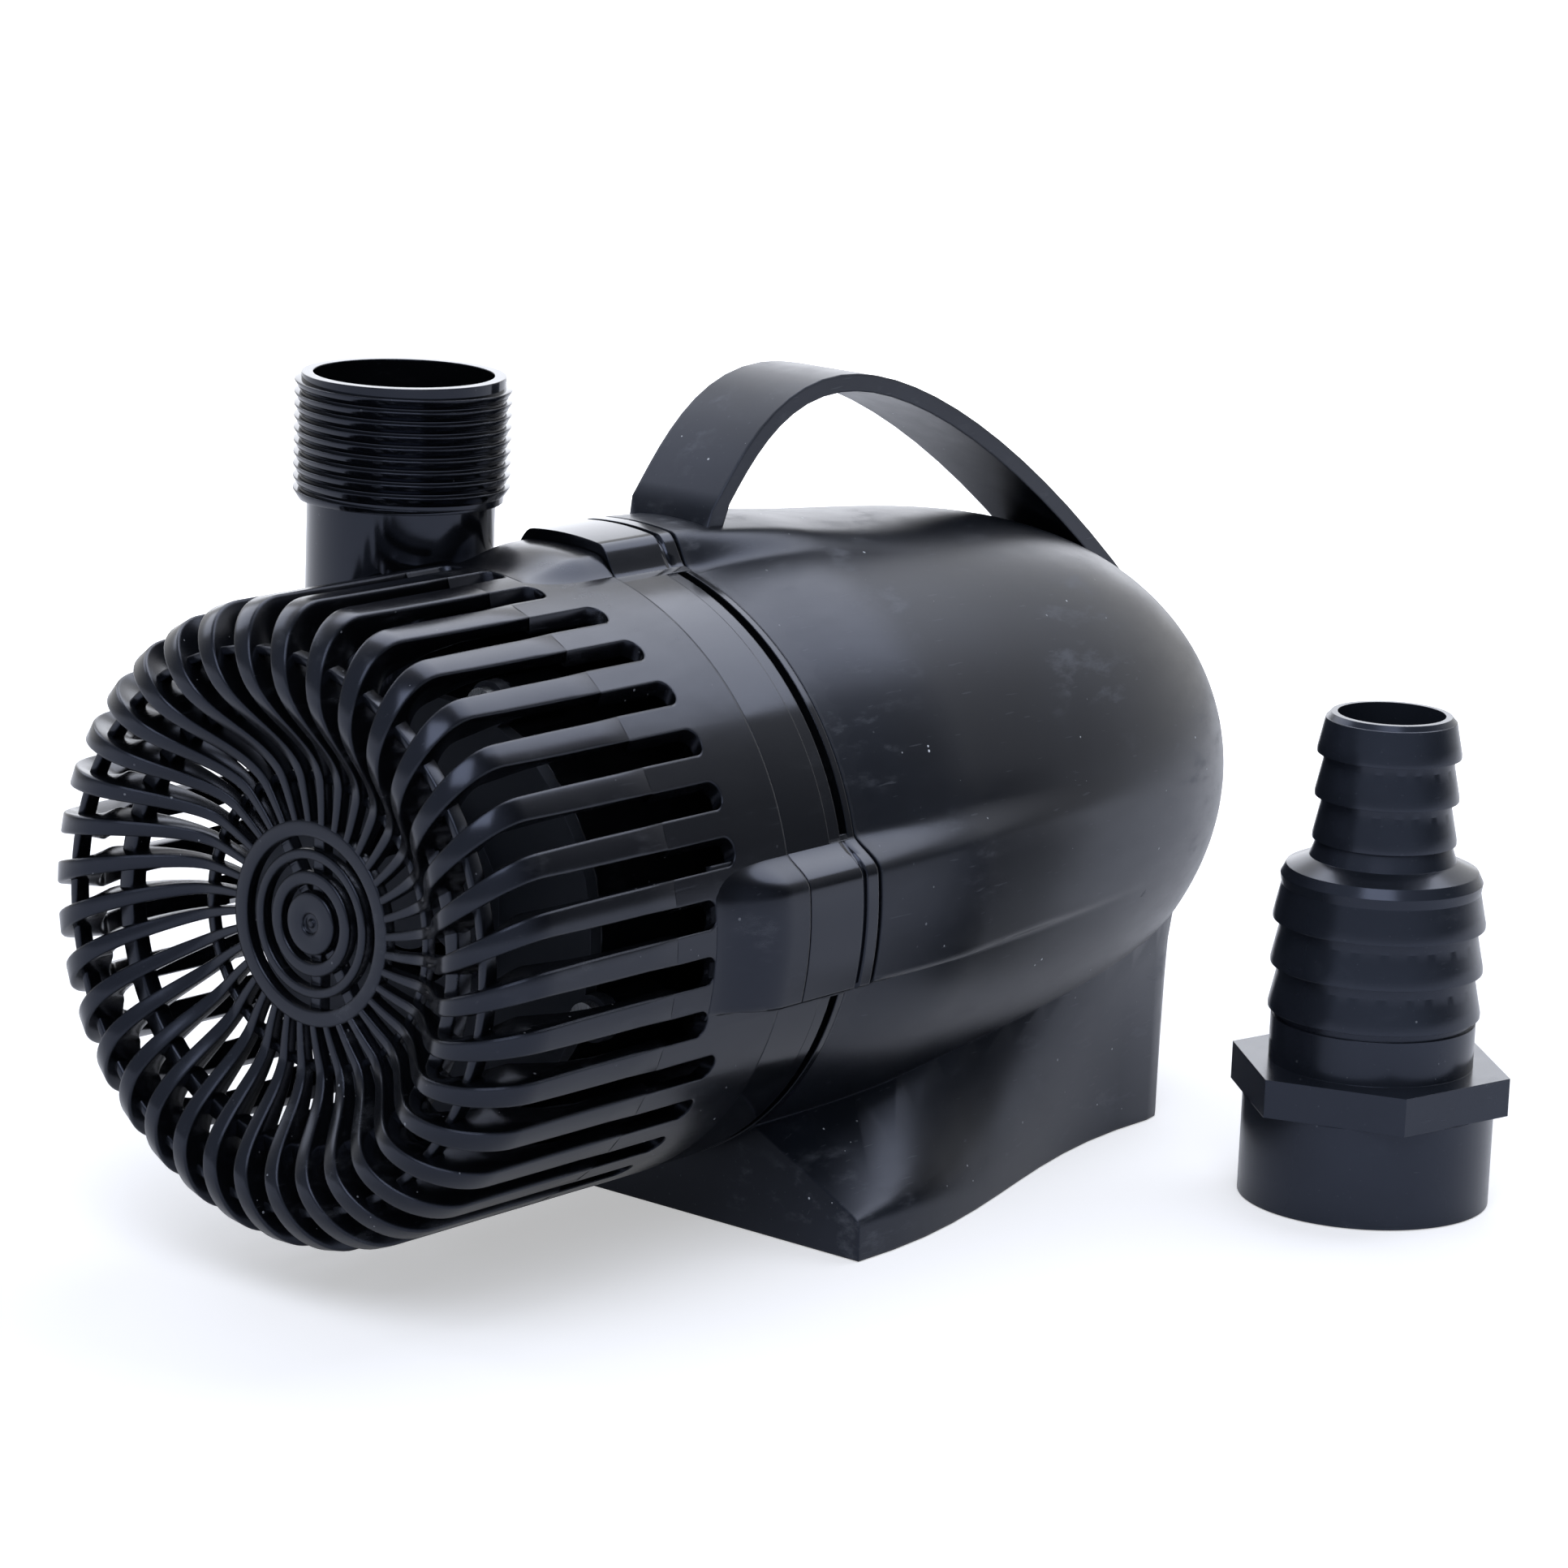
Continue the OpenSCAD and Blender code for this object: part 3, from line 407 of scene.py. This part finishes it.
def thread_tree():
    """Node tree that winds a pointed profile up round the outlet pipe."""
    tree = bpy.data.node_groups.new("outlet thread", "GeometryNodeTree")
    face = tree.interface
    face.new_socket("Geometry", in_out="OUTPUT", socket_type="NodeSocketGeometry")
    for name in ("Root Radius", "Depth", "Pitch", "Turns"):
        face.new_socket(name, in_out="INPUT", socket_type="NodeSocketFloat")
    face.new_socket("Material", in_out="INPUT", socket_type="NodeSocketMaterial")
    size = add(tree, "NodeGroupInput").outputs
    coil = add(tree, "GeometryNodeCurveSpiral", {
        "Resolution": 96,
        "Rotations": size["Turns"],
        "Start Radius": size["Root Radius"],
        "End Radius": size["Root Radius"],
        "Height": math_node(tree, "MULTIPLY", size["Pitch"], size["Turns"]),
    })
    upright = add(tree, "GeometryNodeSetCurveNormal", {"Curve": coil.outputs[0]}, mode="Z_UP")

    # The flank grows out of the pipe over the first third of a turn and sinks back at the last.
    along = add(tree, "GeometryNodeSplineParameter").outputs["Factor"]
    thirds = math_node(tree, "MULTIPLY", size["Turns"], 3.0)
    start = math_node(tree, "MULTIPLY", along, thirds)
    end = math_node(tree, "MULTIPLY", math_node(tree, "SUBTRACT", 1.0, along), thirds)
    swell = math_node(tree, "MINIMUM", math_node(tree, "MINIMUM", start, end), 1.0)
    swell = math_node(tree, "MAXIMUM", swell, 0.05)
    wire = add(tree, "GeometryNodeSetCurveRadius", {"Curve": upright.outputs[0], "Radius": swell})

    def corner(out, up):
        """A point of the profile: out in depths from the root, up in pitches from the middle."""
        return add(tree, "ShaderNodeCombineXYZ", {
            "X": math_node(tree, "MULTIPLY", size["Pitch"], up),
            "Y": math_node(tree, "MULTIPLY", size["Depth"], out),
        }).outputs[0]

    flank = add(tree, "GeometryNodeCurvePrimitiveQuadrilateral", {
        "Point 1": corner(-0.3, -0.61),
        "Point 2": corner(1.0, -0.1),
        "Point 3": corner(1.0, 0.1),
        "Point 4": corner(-0.3, 0.61),
    }, mode="POINTS")
    rounded = add(tree, "GeometryNodeFilletCurve", {
        "Curve": flank.outputs[0],
        "Radius": math_node(tree, "MULTIPLY", size["Depth"], 0.1),
        "Count": 2,
    }, mode="POLY")
    swept = add(tree, "GeometryNodeCurveToMesh", {
        "Curve": wire.outputs[0],
        "Profile Curve": rounded.outputs[0],
        "Scale": swell,
        "Fill Caps": True,
    })
    whole = add(tree, "GeometryNodeRealizeInstances", {"Geometry": swept.outputs[0]})
    worn = add(tree, "GeometryNodeSetMaterial", {
        "Geometry": whole.outputs[0],
        "Material": size["Material"],
    })
    add(tree, "NodeGroupOutput", {"Geometry": worn.outputs[0]})
    return tree


def grown(name, tree, values, place, mesh=None):
    """Runs a geometry tree with these input values and keeps the result as a plain mesh at place."""
    seed = bpy.data.objects.new(name + " seed", mesh or bpy.data.meshes.new("seed"))
    scene.collection.objects.link(seed)
    modifier = seed.modifiers.new("tree", "NODES")
    modifier.node_group = tree
    for item in tree.interface.items_tree:
        if item.in_out == "INPUT" and item.name in values:
            modifier[item.identifier] = values[item.name]
    ready = seed.evaluated_get(bpy.context.evaluated_depsgraph_get())
    mesh = bpy.data.meshes.new_from_object(ready)
    seed.modifiers.remove(modifier)
    bpy.data.objects.remove(seed)
    mesh.transform(Matrix.Translation(place))
    piece = bpy.data.objects.new(name, mesh)
    scene.collection.objects.link(piece)
    return piece


def outlet_thread():
    """The casing with its outlet's land turned down, and the thread wound on it."""
    root_r = (THREAD_CREST_R - THREAD_DEPTH) * MM
    low = OUTLET_TOP - THREAD_LEN
    casing = merged_copy("pump_casing", "casing_body")
    for vertex in casing.data.vertices:
        x, y = vertex.co.x - OUTLET_X * MM, vertex.co.y - OUTLET_Y * MM
        r = math.hypot(x, y)
        if vertex.co.z > (low - 0.1) * MM and r > root_r:
            vertex.co.x = OUTLET_X * MM + x * root_r / r
            vertex.co.y = OUTLET_Y * MM + y * root_r / r
    take_down(casing, SEAM_Y, RIM_LIP_Y + 0.1, RIM_R, 6)
    give(casing, gloss_black)
    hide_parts("pump_casing")
    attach(casing, "pump")

    thread = grown("outlet_thread", thread_tree(), {
        "Root Radius": root_r,
        "Depth": THREAD_DEPTH * MM,
        "Pitch": THREAD_PITCH * MM,
        "Turns": THREAD_TURNS,
        "Material": gloss_black,
    }, Vector((OUTLET_X, OUTLET_Y, low + THREAD_START)) * MM)
    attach(thread, "pump")


# ---------------------------------------------------------------- intake cage

CAGE_R = 60.9           # outer radius of the straight side
CREST_R = 48.0          # radius at which the rounded crest stands farthest forward
BULGE = 13.0            # how far it stands in front of the dish
FLAT_R = 26.5           # radius of the dish's flat middle
HUB_RING = (16.3, 19.4)  # inner and outer radius of the ring that the ribs leave
INNER_RINGS = ((12.1, 14.0), (7.4, 9.9), (1.9, 5.9))
HUB_T = 2.6
HUB_BARS = (0, -32.5)   # degrees from the top
DISH_Y = -88.0
RIB_END_Y = -55.0       # behind this plane the cage keeps the CAD shape
RIBS = 36
SWIRL = 17.85           # degrees that a rib sweeps from SWIRL_R to the side
SWIRL_R = 18.4
RIB_HALF = 2.2          # half of a rib's width, in degrees
FIRST_RIB = 9.15        # degrees from the top


def rib_path():
    """Stations of a rib's outer face, from the hub to its rear: radius and place along Y."""
    dish = [
        (r, DISH_Y + 0.05 - BULGE * (1 - math.cos(math.pi * max(0, r - FLAT_R) / (CREST_R - FLAT_R))) / 2)
        for r in (HUB_RING[1] - 0.5 + (CREST_R - HUB_RING[1] + 0.5) * i / 24 for i in range(25))
    ]
    corner = [
        (CREST_R + (CAGE_R - CREST_R) * math.sin(t), DISH_Y - BULGE * math.cos(t))
        for t in (math.radians(a) for a in range(6, 91, 6))
    ]
    side = [(CAGE_R, y) for y in (DISH_Y + 8, DISH_Y + 16, RIB_END_Y - 8, RIB_END_Y)]
    tongue = (CAGE_R - 0.4, RIB_END_Y + 3)
    return dish + corner + side + [tongue]


def rib_mesh():
    """One rib about the pump axis: a flat bar with soft corners, swept along the cage's outline."""
    path = rib_path()
    body = bmesh.new()
    loops = []
    for i, (r, y) in enumerate(path):
        before = path[max(i - 1, 0)]
        after = path[min(i + 1, len(path) - 1)]
        ahead = Vector((after[0] - before[0], after[1] - before[1])).normalized()
        inward = Vector((-ahead.y, ahead.x))
        on_side = blend(y, DISH_Y - 4, DISH_Y + 14) if r > CREST_R else 0.0
        deep = HUB_T + 5.2 * blend(r, FLAT_R, CREST_R) - 4.8 * on_side
        half = (RIB_HALF + 0.2 * on_side) * math.radians(1) * r
        if i == len(path) - 1:
            half -= 0.4
        soft = min(0.3 * half, 0.5) * (1 - 0.9 * blend(y, RIB_END_Y - 9, RIB_END_Y))
        turn = math.radians(FIRST_RIB + (CAGE_R - r) * SWIRL / (CAGE_R - SWIRL_R))
        loop = []
        for cx, cy, start in ((1, 0, 0), (-1, 0, 90), (-1, 1, 180), (1, 1, 270)):
            for step in range(4):
                angle = math.radians(start + 30 * step)
                across = cx * (half - soft) + soft * math.cos(angle)
                depth = (soft if cy == 0 else deep - soft) - soft * math.sin(angle)
                place = Vector((r, y)) + inward * depth
                swing = turn + across / r
                loop.append(body.verts.new((
                    place.x * math.sin(swing) * MM, place.y * MM, place.x * math.cos(swing) * MM,
                )))
        loops.append(loop)
    for a, b in zip(loops, loops[1:]):
        for k in range(len(a)):
            n = (k + 1) % len(a)
            body.faces.new((a[k], a[n], b[n], b[k]))
    body.faces.new(loops[0])
    body.faces.new(list(reversed(loops[-1])))
    bmesh.ops.recalc_face_normals(body, faces=body.faces)
    for face in body.faces:
        face.smooth = len(face.verts) == 4
    for edge in body.edges:
        edge.smooth = all(face.smooth for face in edge.link_faces)
    mesh = bpy.data.meshes.new("rib")
    body.to_mesh(mesh)
    body.free()
    return mesh


def ring_tree():
    """Node tree that repeats its geometry at even turns about the Y axis."""
    tree = bpy.data.node_groups.new("turned repeats", "GeometryNodeTree")
    face = tree.interface
    face.new_socket("Geometry", in_out="OUTPUT", socket_type="NodeSocketGeometry")
    face.new_socket("Geometry", in_out="INPUT", socket_type="NodeSocketGeometry")
    face.new_socket("Count", in_out="INPUT", socket_type="NodeSocketInt")
    face.new_socket("Material", in_out="INPUT", socket_type="NodeSocketMaterial")
    size = add(tree, "NodeGroupInput").outputs
    points = add(tree, "GeometryNodePoints", {"Count": size["Count"]})
    share = math_node(tree, "DIVIDE", add(tree, "GeometryNodeInputIndex").outputs[0], size["Count"])
    turn = add(tree, "ShaderNodeCombineXYZ", {"Y": math_node(tree, "MULTIPLY", share, math.tau)})
    placed = add(tree, "GeometryNodeInstanceOnPoints", {
        "Points": points.outputs[0],
        "Instance": size["Geometry"],
        "Rotation": turn.outputs[0],
    })
    whole = add(tree, "GeometryNodeRealizeInstances", {"Geometry": placed.outputs[0]})
    worn = add(tree, "GeometryNodeSetMaterial", {
        "Geometry": whole.outputs[0],
        "Material": size["Material"],
    })
    add(tree, "NodeGroupOutput", {"Geometry": worn.outputs[0]})
    return tree


def turned(body, inner, outer, front, rear, soft=0.35, steps=120):
    """Adds a ring about the Y axis with soft corners to body; inner radius 0 makes a disc."""
    outline = []
    for r, y, start in ((outer, rear, 0), (inner, rear, 90), (inner, front, 180), (outer, front, 270)):
        if r == 0:
            outline.append((0.0, y))
            continue
        side = -1 if r == outer else 1
        along = -1 if y == rear else 1
        for step in range(4):
            angle = math.radians(start + 30 * step)
            outline.append((
                r + side * soft + soft * math.cos(angle),
                y + along * soft + soft * math.sin(angle),
            ))
    rows = []
    for i in range(steps):
        turn = math.tau * i / steps
        rows.append([
            body.verts.new((r * math.sin(turn) * MM, y * MM, r * math.cos(turn) * MM))
            for r, y in outline
        ])
    for a, b in zip(rows, rows[1:] + rows[:1]):
        for k in range(len(a)):
            n = (k + 1) % len(a)
            if outline[k][0] or outline[n][0]:
                body.faces.new((a[k], a[n], b[n], b[k]))


def bar(body, turn, length, width, front, rear):
    """Adds a bar through the Y axis, turned clockwise from the top by turn degrees."""
    bmesh.ops.create_cube(body, size=1.0, matrix=(
        Matrix.Rotation(math.radians(turn), 4, "Y")
        @ Matrix.Translation((0, (front + rear) / 2 * MM, 0))
        @ Matrix.Diagonal((width * MM, (rear - front) * MM, length * MM, 1))
    ))


def cage_piece(name, body):
    """Makes body, which is drawn about the Y axis, a smooth piece of the cage."""
    bmesh.ops.remove_doubles(body, verts=body.verts, dist=0.0005 * MM)
    bmesh.ops.dissolve_degenerate(body, edges=body.edges, dist=0.0005 * MM)
    piece = finished(name, body, cage_black, 35)
    piece.data.transform(Matrix.Translation((0, 0, AXIS_H * MM)))
    ride_cage(piece)


def ride_cage(piece):
    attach(piece, "cage")


def intake_cage():
    """The cage: its CAD rear, and in front of it swept ribs, hub rings and hoops."""
    rear = merged_copy("intake_cage", "cage_rear")
    body = bmesh.new()
    body.from_mesh(rear.data)
    bmesh.ops.bisect_plane(
        body, geom=list(body.verts) + list(body.edges) + list(body.faces),
        plane_co=(0, RIB_END_Y * MM, 0), plane_no=(0, 1, 0), clear_inner=True,
    )
    body.to_mesh(rear.data)
    body.free()
    take_down(rear, RIB_END_Y, SEAM_Y + 1, CAGE_R, 5)
    give(rear, cage_black)
    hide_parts("intake_cage")
    ride_cage(rear)

    ribs = grown("cage_ribs", ring_tree(), {"Count": RIBS, "Material": cage_black},
                 Vector((0, 0, AXIS_H)) * MM, rib_mesh())
    ride_cage(ribs)

    hub = bmesh.new()
    for inner, outer in (HUB_RING,) + INNER_RINGS:
        turned(hub, inner, outer, DISH_Y, DISH_Y + HUB_T)
    turned(hub, 0, 2.2, DISH_Y + 0.7, DISH_Y + HUB_T, 0.1, 48)
    turned(hub, 0, 0.7, DISH_Y + 0.2, DISH_Y + 1, 0.15, 24)
    for turn in HUB_BARS:
        bar(hub, turn, 2 * HUB_RING[0] + 2, 2.4, DISH_Y + HUB_T - 0.6, DISH_Y + HUB_T + 2)
    cage_piece("cage_hub", hub)

    hoops = bmesh.new()
    turned(hoops, 26.7, 28.3, DISH_Y + 1.6, DISH_Y + 3.8, 0.3)
    turned(hoops, 40.0, 43.4, DISH_Y - 6.5, DISH_Y - 2.5, 0.5)
    turned(hoops, 51.2, 52.9, DISH_Y - 10, DISH_Y - 6.5, 0.4)
    cage_piece("cage_hoops", hoops)


# ---------------------------------------------------------------- motor housing

HOUSING_R = 59.6        # radius at the front rim
BELLY_R = 61.6          # largest radius
BELLY_Y = 30.0
TAIL = 137.0            # length behind the belly
TAPER = 0.052
HULL_POWERS = (3.8, 0.49)  # how late and how bluntly the tail rounds off
RIM_Y = -1.6
SKIN_PROUD = 0.04       # how far the skin stands over the shell
SKIN_DEEP = 1.2         # how deep its inner face lies in the shell
RAIL_H = 5.8
RAIL_WINDOW = 16        # degrees to either side of a rail in which the CAD's rail stands
Rail = namedtuple("Rail", "turn low high soft_low soft_high length power spread")
# Rails: turn from the top, reach to either side, width of either edge (all in degrees),
# length, how fast the height falls off, and how much the rail spreads per millimetre.
RAILS = (
    Rail(1.5, 13.5, 13.5, 6.0, 6.0, 85, 2.6, 0.0105),
    Rail(91.5, 15.5, 12.5, 7.0, 1.6, 112, 2.2, 0.0),
    Rail(-88.5, 12.5, 15.5, 1.6, 7.0, 112, 2.2, 0.0),
)


def from_rail(degrees, rail):
    """Degrees from a rail's middle, between -180 and 180."""
    return (degrees - rail.turn + 180) % 360 - 180


def near_rail(degrees):
    return any(abs(from_rail(degrees, rail)) < RAIL_WINDOW for rail in RAILS)


def rail_share(away, rail):
    """0 beside a rail or pad and 1 on its top, at these degrees away from its middle."""
    return min(
        blend(away, -rail.low, rail.soft_low - rail.low),
        1 - blend(away, rail.high - rail.soft_high, rail.high),
    )


def hull_r(y):
    """Radius of the housing's plain shell at a distance behind its front rim."""
    if y < BELLY_Y:
        return HOUSING_R + (BELLY_R - HOUSING_R) * math.sin(math.pi / 2 * max(0, y) / BELLY_Y)
    late, blunt = HULL_POWERS
    rounding = max(0.0, 1 - ((y - BELLY_Y) / TAIL) ** late) ** blunt
    return (BELLY_R - TAPER * (y - BELLY_Y)) * rounding


def rail_rise(y, degrees):
    """Height of the rails over the shell."""
    behind = max(0, y)
    height = 0.0
    for rail in RAILS:
        away = from_rail(degrees, rail) / (1 + rail.spread * behind)
        fall = max(0.0, 1 - behind / rail.length) ** rail.power
        height = max(height, rail_share(away, rail) * RAIL_H * fall)
    return height


def housing_skin(steps=480):
    """Closed outer skin of the housing, with rails that melt into its side."""
    places = [RIM_Y, -0.8, 0, 2, 4] + list(range(7, 31, 3))
    places += [BELLY_Y + TAIL * math.sin(math.radians(t)) for t in (1, 2, 3.5, 5)]
    places += [BELLY_Y + TAIL * math.sin(math.radians(t)) for t in range(7, 90, 2)]
    body = bmesh.new()
    rows = []
    for sunk in (-SKIN_PROUD, SKIN_DEEP):
        for y in places if sunk < 0 else reversed(places):
            row = []
            for i in range(steps):
                degrees = 360 * i / steps
                r = max(0.3, hull_r(y) + rail_rise(y, degrees) - sunk)
                turn = math.radians(degrees)
                row.append(body.verts.new((
                    r * math.sin(turn) * MM, (y - 0.02) * MM, (AXIS_H + r * math.cos(turn)) * MM,
                )))
            rows.append(row)
    join_rows(body, rows)
    return finished("housing_skin", body, satin_body, 40)


def motor_housing():
    """The CAD housing with its rails taken down, under the smooth skin."""
    shell = merged_copy("motor_housing", "housing_shell")
    for vertex in shell.data.vertices:
        r, degrees, y = about_axis(vertex)
        if near_rail(degrees) and y < 115 and 0.15 < r - hull_r(y) < 6.2:
            set_radius(vertex, r, hull_r(y) - 0.3)
    give(shell, satin_body)
    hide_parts("motor_housing")
    for piece in (shell, housing_skin()):
        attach(piece, "pump")


# ---------------------------------------------------------------- latch pads

SEAM_Y = -23.0          # rear edge of the cage
RIM_LIP_Y = -3.0        # rear edge of the casing's rim
RIM_R = 60.7
PAD_ROOT = 0.4          # how deep a pad's edge lies under the surface it grows from
PAD_DEEP = 1.2          # how far its inner face lies under that edge
SIDE_PAD_H = 4.7
TOP_PAD_H = 2.7
BLOCK_H = 4.9
GROOVE_DEPTH = 0.9


def pads(name, material, places, foot_r, height_at, body_name):
    """Three closed pads in line with the rails; height_at gives their height from place and rail."""
    body = bmesh.new()
    for rail in RAILS:
        steps = 44
        rows = []
        for top in (True, False):
            for y in places if top else reversed(places):
                row = []
                for i in range(steps + 1):
                    away = -rail.low + (rail.low + rail.high) * i / steps
                    r = foot_r - PAD_ROOT
                    if top:
                        r += (height_at(y, rail) + PAD_ROOT) * rail_share(away, rail)
                    else:
                        r -= PAD_DEEP
                    turn = math.radians(rail.turn + away)
                    row.append(body.verts.new((
                        r * math.sin(turn) * MM, y * MM, (AXIS_H + r * math.cos(turn)) * MM,
                    )))
                rows.append(row)
        for a, b in zip(rows, rows[1:] + rows[:1]):
            for i in range(steps):
                body.faces.new((a[i], a[i + 1], b[i + 1], b[i]))
        half = len(rows) // 2
        for a, b in zip(range(half - 1), reversed(range(half + 1, 2 * half))):
            for i in (0, steps):
                body.faces.new((rows[a][i], rows[a + 1][i], rows[b - 1][i], rows[b][i]))
    piece = finished(name, body, material, 32)
    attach(piece, body_name)


def take_down(piece, front, rear, foot_r, tallest):
    """Lowers what stands over foot_r near the rails' lines, between two planes, to foot_r."""
    for vertex in piece.data.vertices:
        r, degrees, y = about_axis(vertex)
        if near_rail(degrees) and front < y < rear and foot_r + 0.05 < r < foot_r + tallest:
            set_radius(vertex, r, foot_r)


def cage_pad_height(y, rail):
    """Pads on the cage grow out of it towards the seam; the top one is lower."""
    full = TOP_PAD_H if rail is RAILS[0] else SIDE_PAD_H
    return full * blend(y, -45, -28)


def rim_pad_height(y, rail):
    """Blocks on the casing's rim, with a groove near their rear."""
    return BLOCK_H - GROOVE_DEPTH * blend(y, -7.6, -7.2) * (1 - blend(y, -6.4, -6.0))


def latch_pads():
    front_places = [-44.2 + 21.2 * i / 24 for i in range(25)]
    pads("cage_pads", cage_black, front_places, CAGE_R, cage_pad_height, "cage")
    rim_places = [SEAM_Y + 0.35, -20, -14, -8, -7.6, -7.4, -7.2, -6.8, -6.4, -6.2, -6.0, -4.5, RIM_LIP_Y]
    pads("rim_blocks", gloss_black, rim_places, RIM_R, rim_pad_height, "pump")


# ---------------------------------------------------------------- studio floor and light

def studio():
    """Pale floor that keeps the shadow, white surroundings, and four soft lamps."""
    middle = (0.0, 0.03, 0.08)
    mesh = bpy.data.meshes.new("floor")
    half = 3.0
    mesh.from_pydata(
        [(-half, -half, -0.0002), (half, -half, -0.0002), (half, half, -0.0002), (-half, half, -0.0002)],
        [], [(0, 1, 2, 3)],
    )
    floor = bpy.data.objects.new("floor", mesh)
    scene.collection.objects.link(floor)
    material = bpy.data.materials.new("matt white floor")
    material.use_nodes = True
    tree = material.node_tree
    tree.nodes.clear()
    path = add(tree, "ShaderNodeLightPath").outputs
    seen = math_node(tree, "MAXIMUM", path["Is Camera Ray"], path["Is Transmission Ray"])
    seen = math_node(tree, "MAXIMUM", seen, math_node(tree, "MULTIPLY", path["Is Glossy Ray"], 0.3))
    away = add(tree, "ShaderNodeVectorMath",
               {0: add(tree, "ShaderNodeTexCoord").outputs["Object"]}, operation="LENGTH")
    far = math_node(tree, "MULTIPLY_ADD", ramp(tree, away.outputs["Value"], 0.25, 0.7), 1.0)
    far.node.inputs[2].default_value = 0.45
    matt = add(tree, "ShaderNodeBsdfDiffuse", {"Color": paint("#e8e8ea")})
    lift = add(tree, "ShaderNodeEmission", {"Color": paint("#ffffff"),
                                            "Strength": math_node(tree, "MULTIPLY", seen, far)})
    both = add(tree, "ShaderNodeAddShader", {0: matt.outputs[0], 1: lift.outputs[0]})
    add(tree, "ShaderNodeOutputMaterial", {"Surface": both.outputs[0]})
    give(floor, material)

    world = bpy.data.worlds.new("studio")
    scene.world = world
    world.use_nodes = True
    tree = world.node_tree
    tree.nodes.clear()
    path = add(tree, "ShaderNodeLightPath").outputs
    heading = add(tree, "ShaderNodeTexCoord").outputs["Generated"]
    behind = add(tree, "ShaderNodeVectorMath", {0: heading, 1: (-0.62, 0.74, 0.25)},
                 operation="DOT_PRODUCT").outputs["Value"]
    behind = ramp(tree, behind, 0.0, 0.9)
    seen = math_node(tree, "MAXIMUM", path["Is Camera Ray"], path["Is Transmission Ray"])
    seen = math_node(tree, "MAXIMUM", seen, math_node(tree, "MULTIPLY", path["Is Glossy Ray"], behind))
    front = add(tree, "ShaderNodeVectorMath", {0: heading, 1: (0.3, -0.9, 0.15)},
                operation="DOT_PRODUCT").outputs["Value"]
    level = math_node(tree, "MULTIPLY_ADD", ramp(tree, front, -0.2, 0.7), 0.5)
    level.node.inputs[2].default_value = 0.12
    room = add(tree, "ShaderNodeBackground", {"Color": paint("#dde4f2"), "Strength": level})
    white = add(tree, "ShaderNodeBackground", {"Color": paint("#ffffff"), "Strength": 1.0})
    mixed = add(tree, "ShaderNodeMixShader", {0: seen, 1: room.outputs[0], 2: white.outputs[0]})
    add(tree, "ShaderNodeOutputWorld", {"Surface": mixed.outputs[0]})

    softbox("key softbox", (0.48, -0.57, 0.95), middle, 0.7, 0.7, 5.5)
    softbox("overhead softbox", (-0.08, 0.6, 1.05), middle, 1.3, 0.8, 8.6)
    softbox("left softbox", (-1.0, 0.0, 0.85), middle, 0.8, 0.6, 3.4)
    softbox("rear panel", (-0.8, 1.0, 0.35), middle, 1.0, 0.6, 2.5)


# ---------------------------------------------------------------- assembly

def moulded_skin(node, name, material, body):
    """Stands a smooth-shaded copy of a moulded node with crisp edges in for it."""
    piece = merged_copy(node, name, 12)
    give(piece, material)
    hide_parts(node)
    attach(piece, body)


place_camera()
studio()
for name, material in FINISH.items():
    give(nodes[name], material)
outlet_thread()
motor_housing()
latch_pads()
intake_cage()
moulded_skin("hose_adapter", "adapter_body", adapter_black, "adapter")

scene.view_settings.view_transform = "Standard"
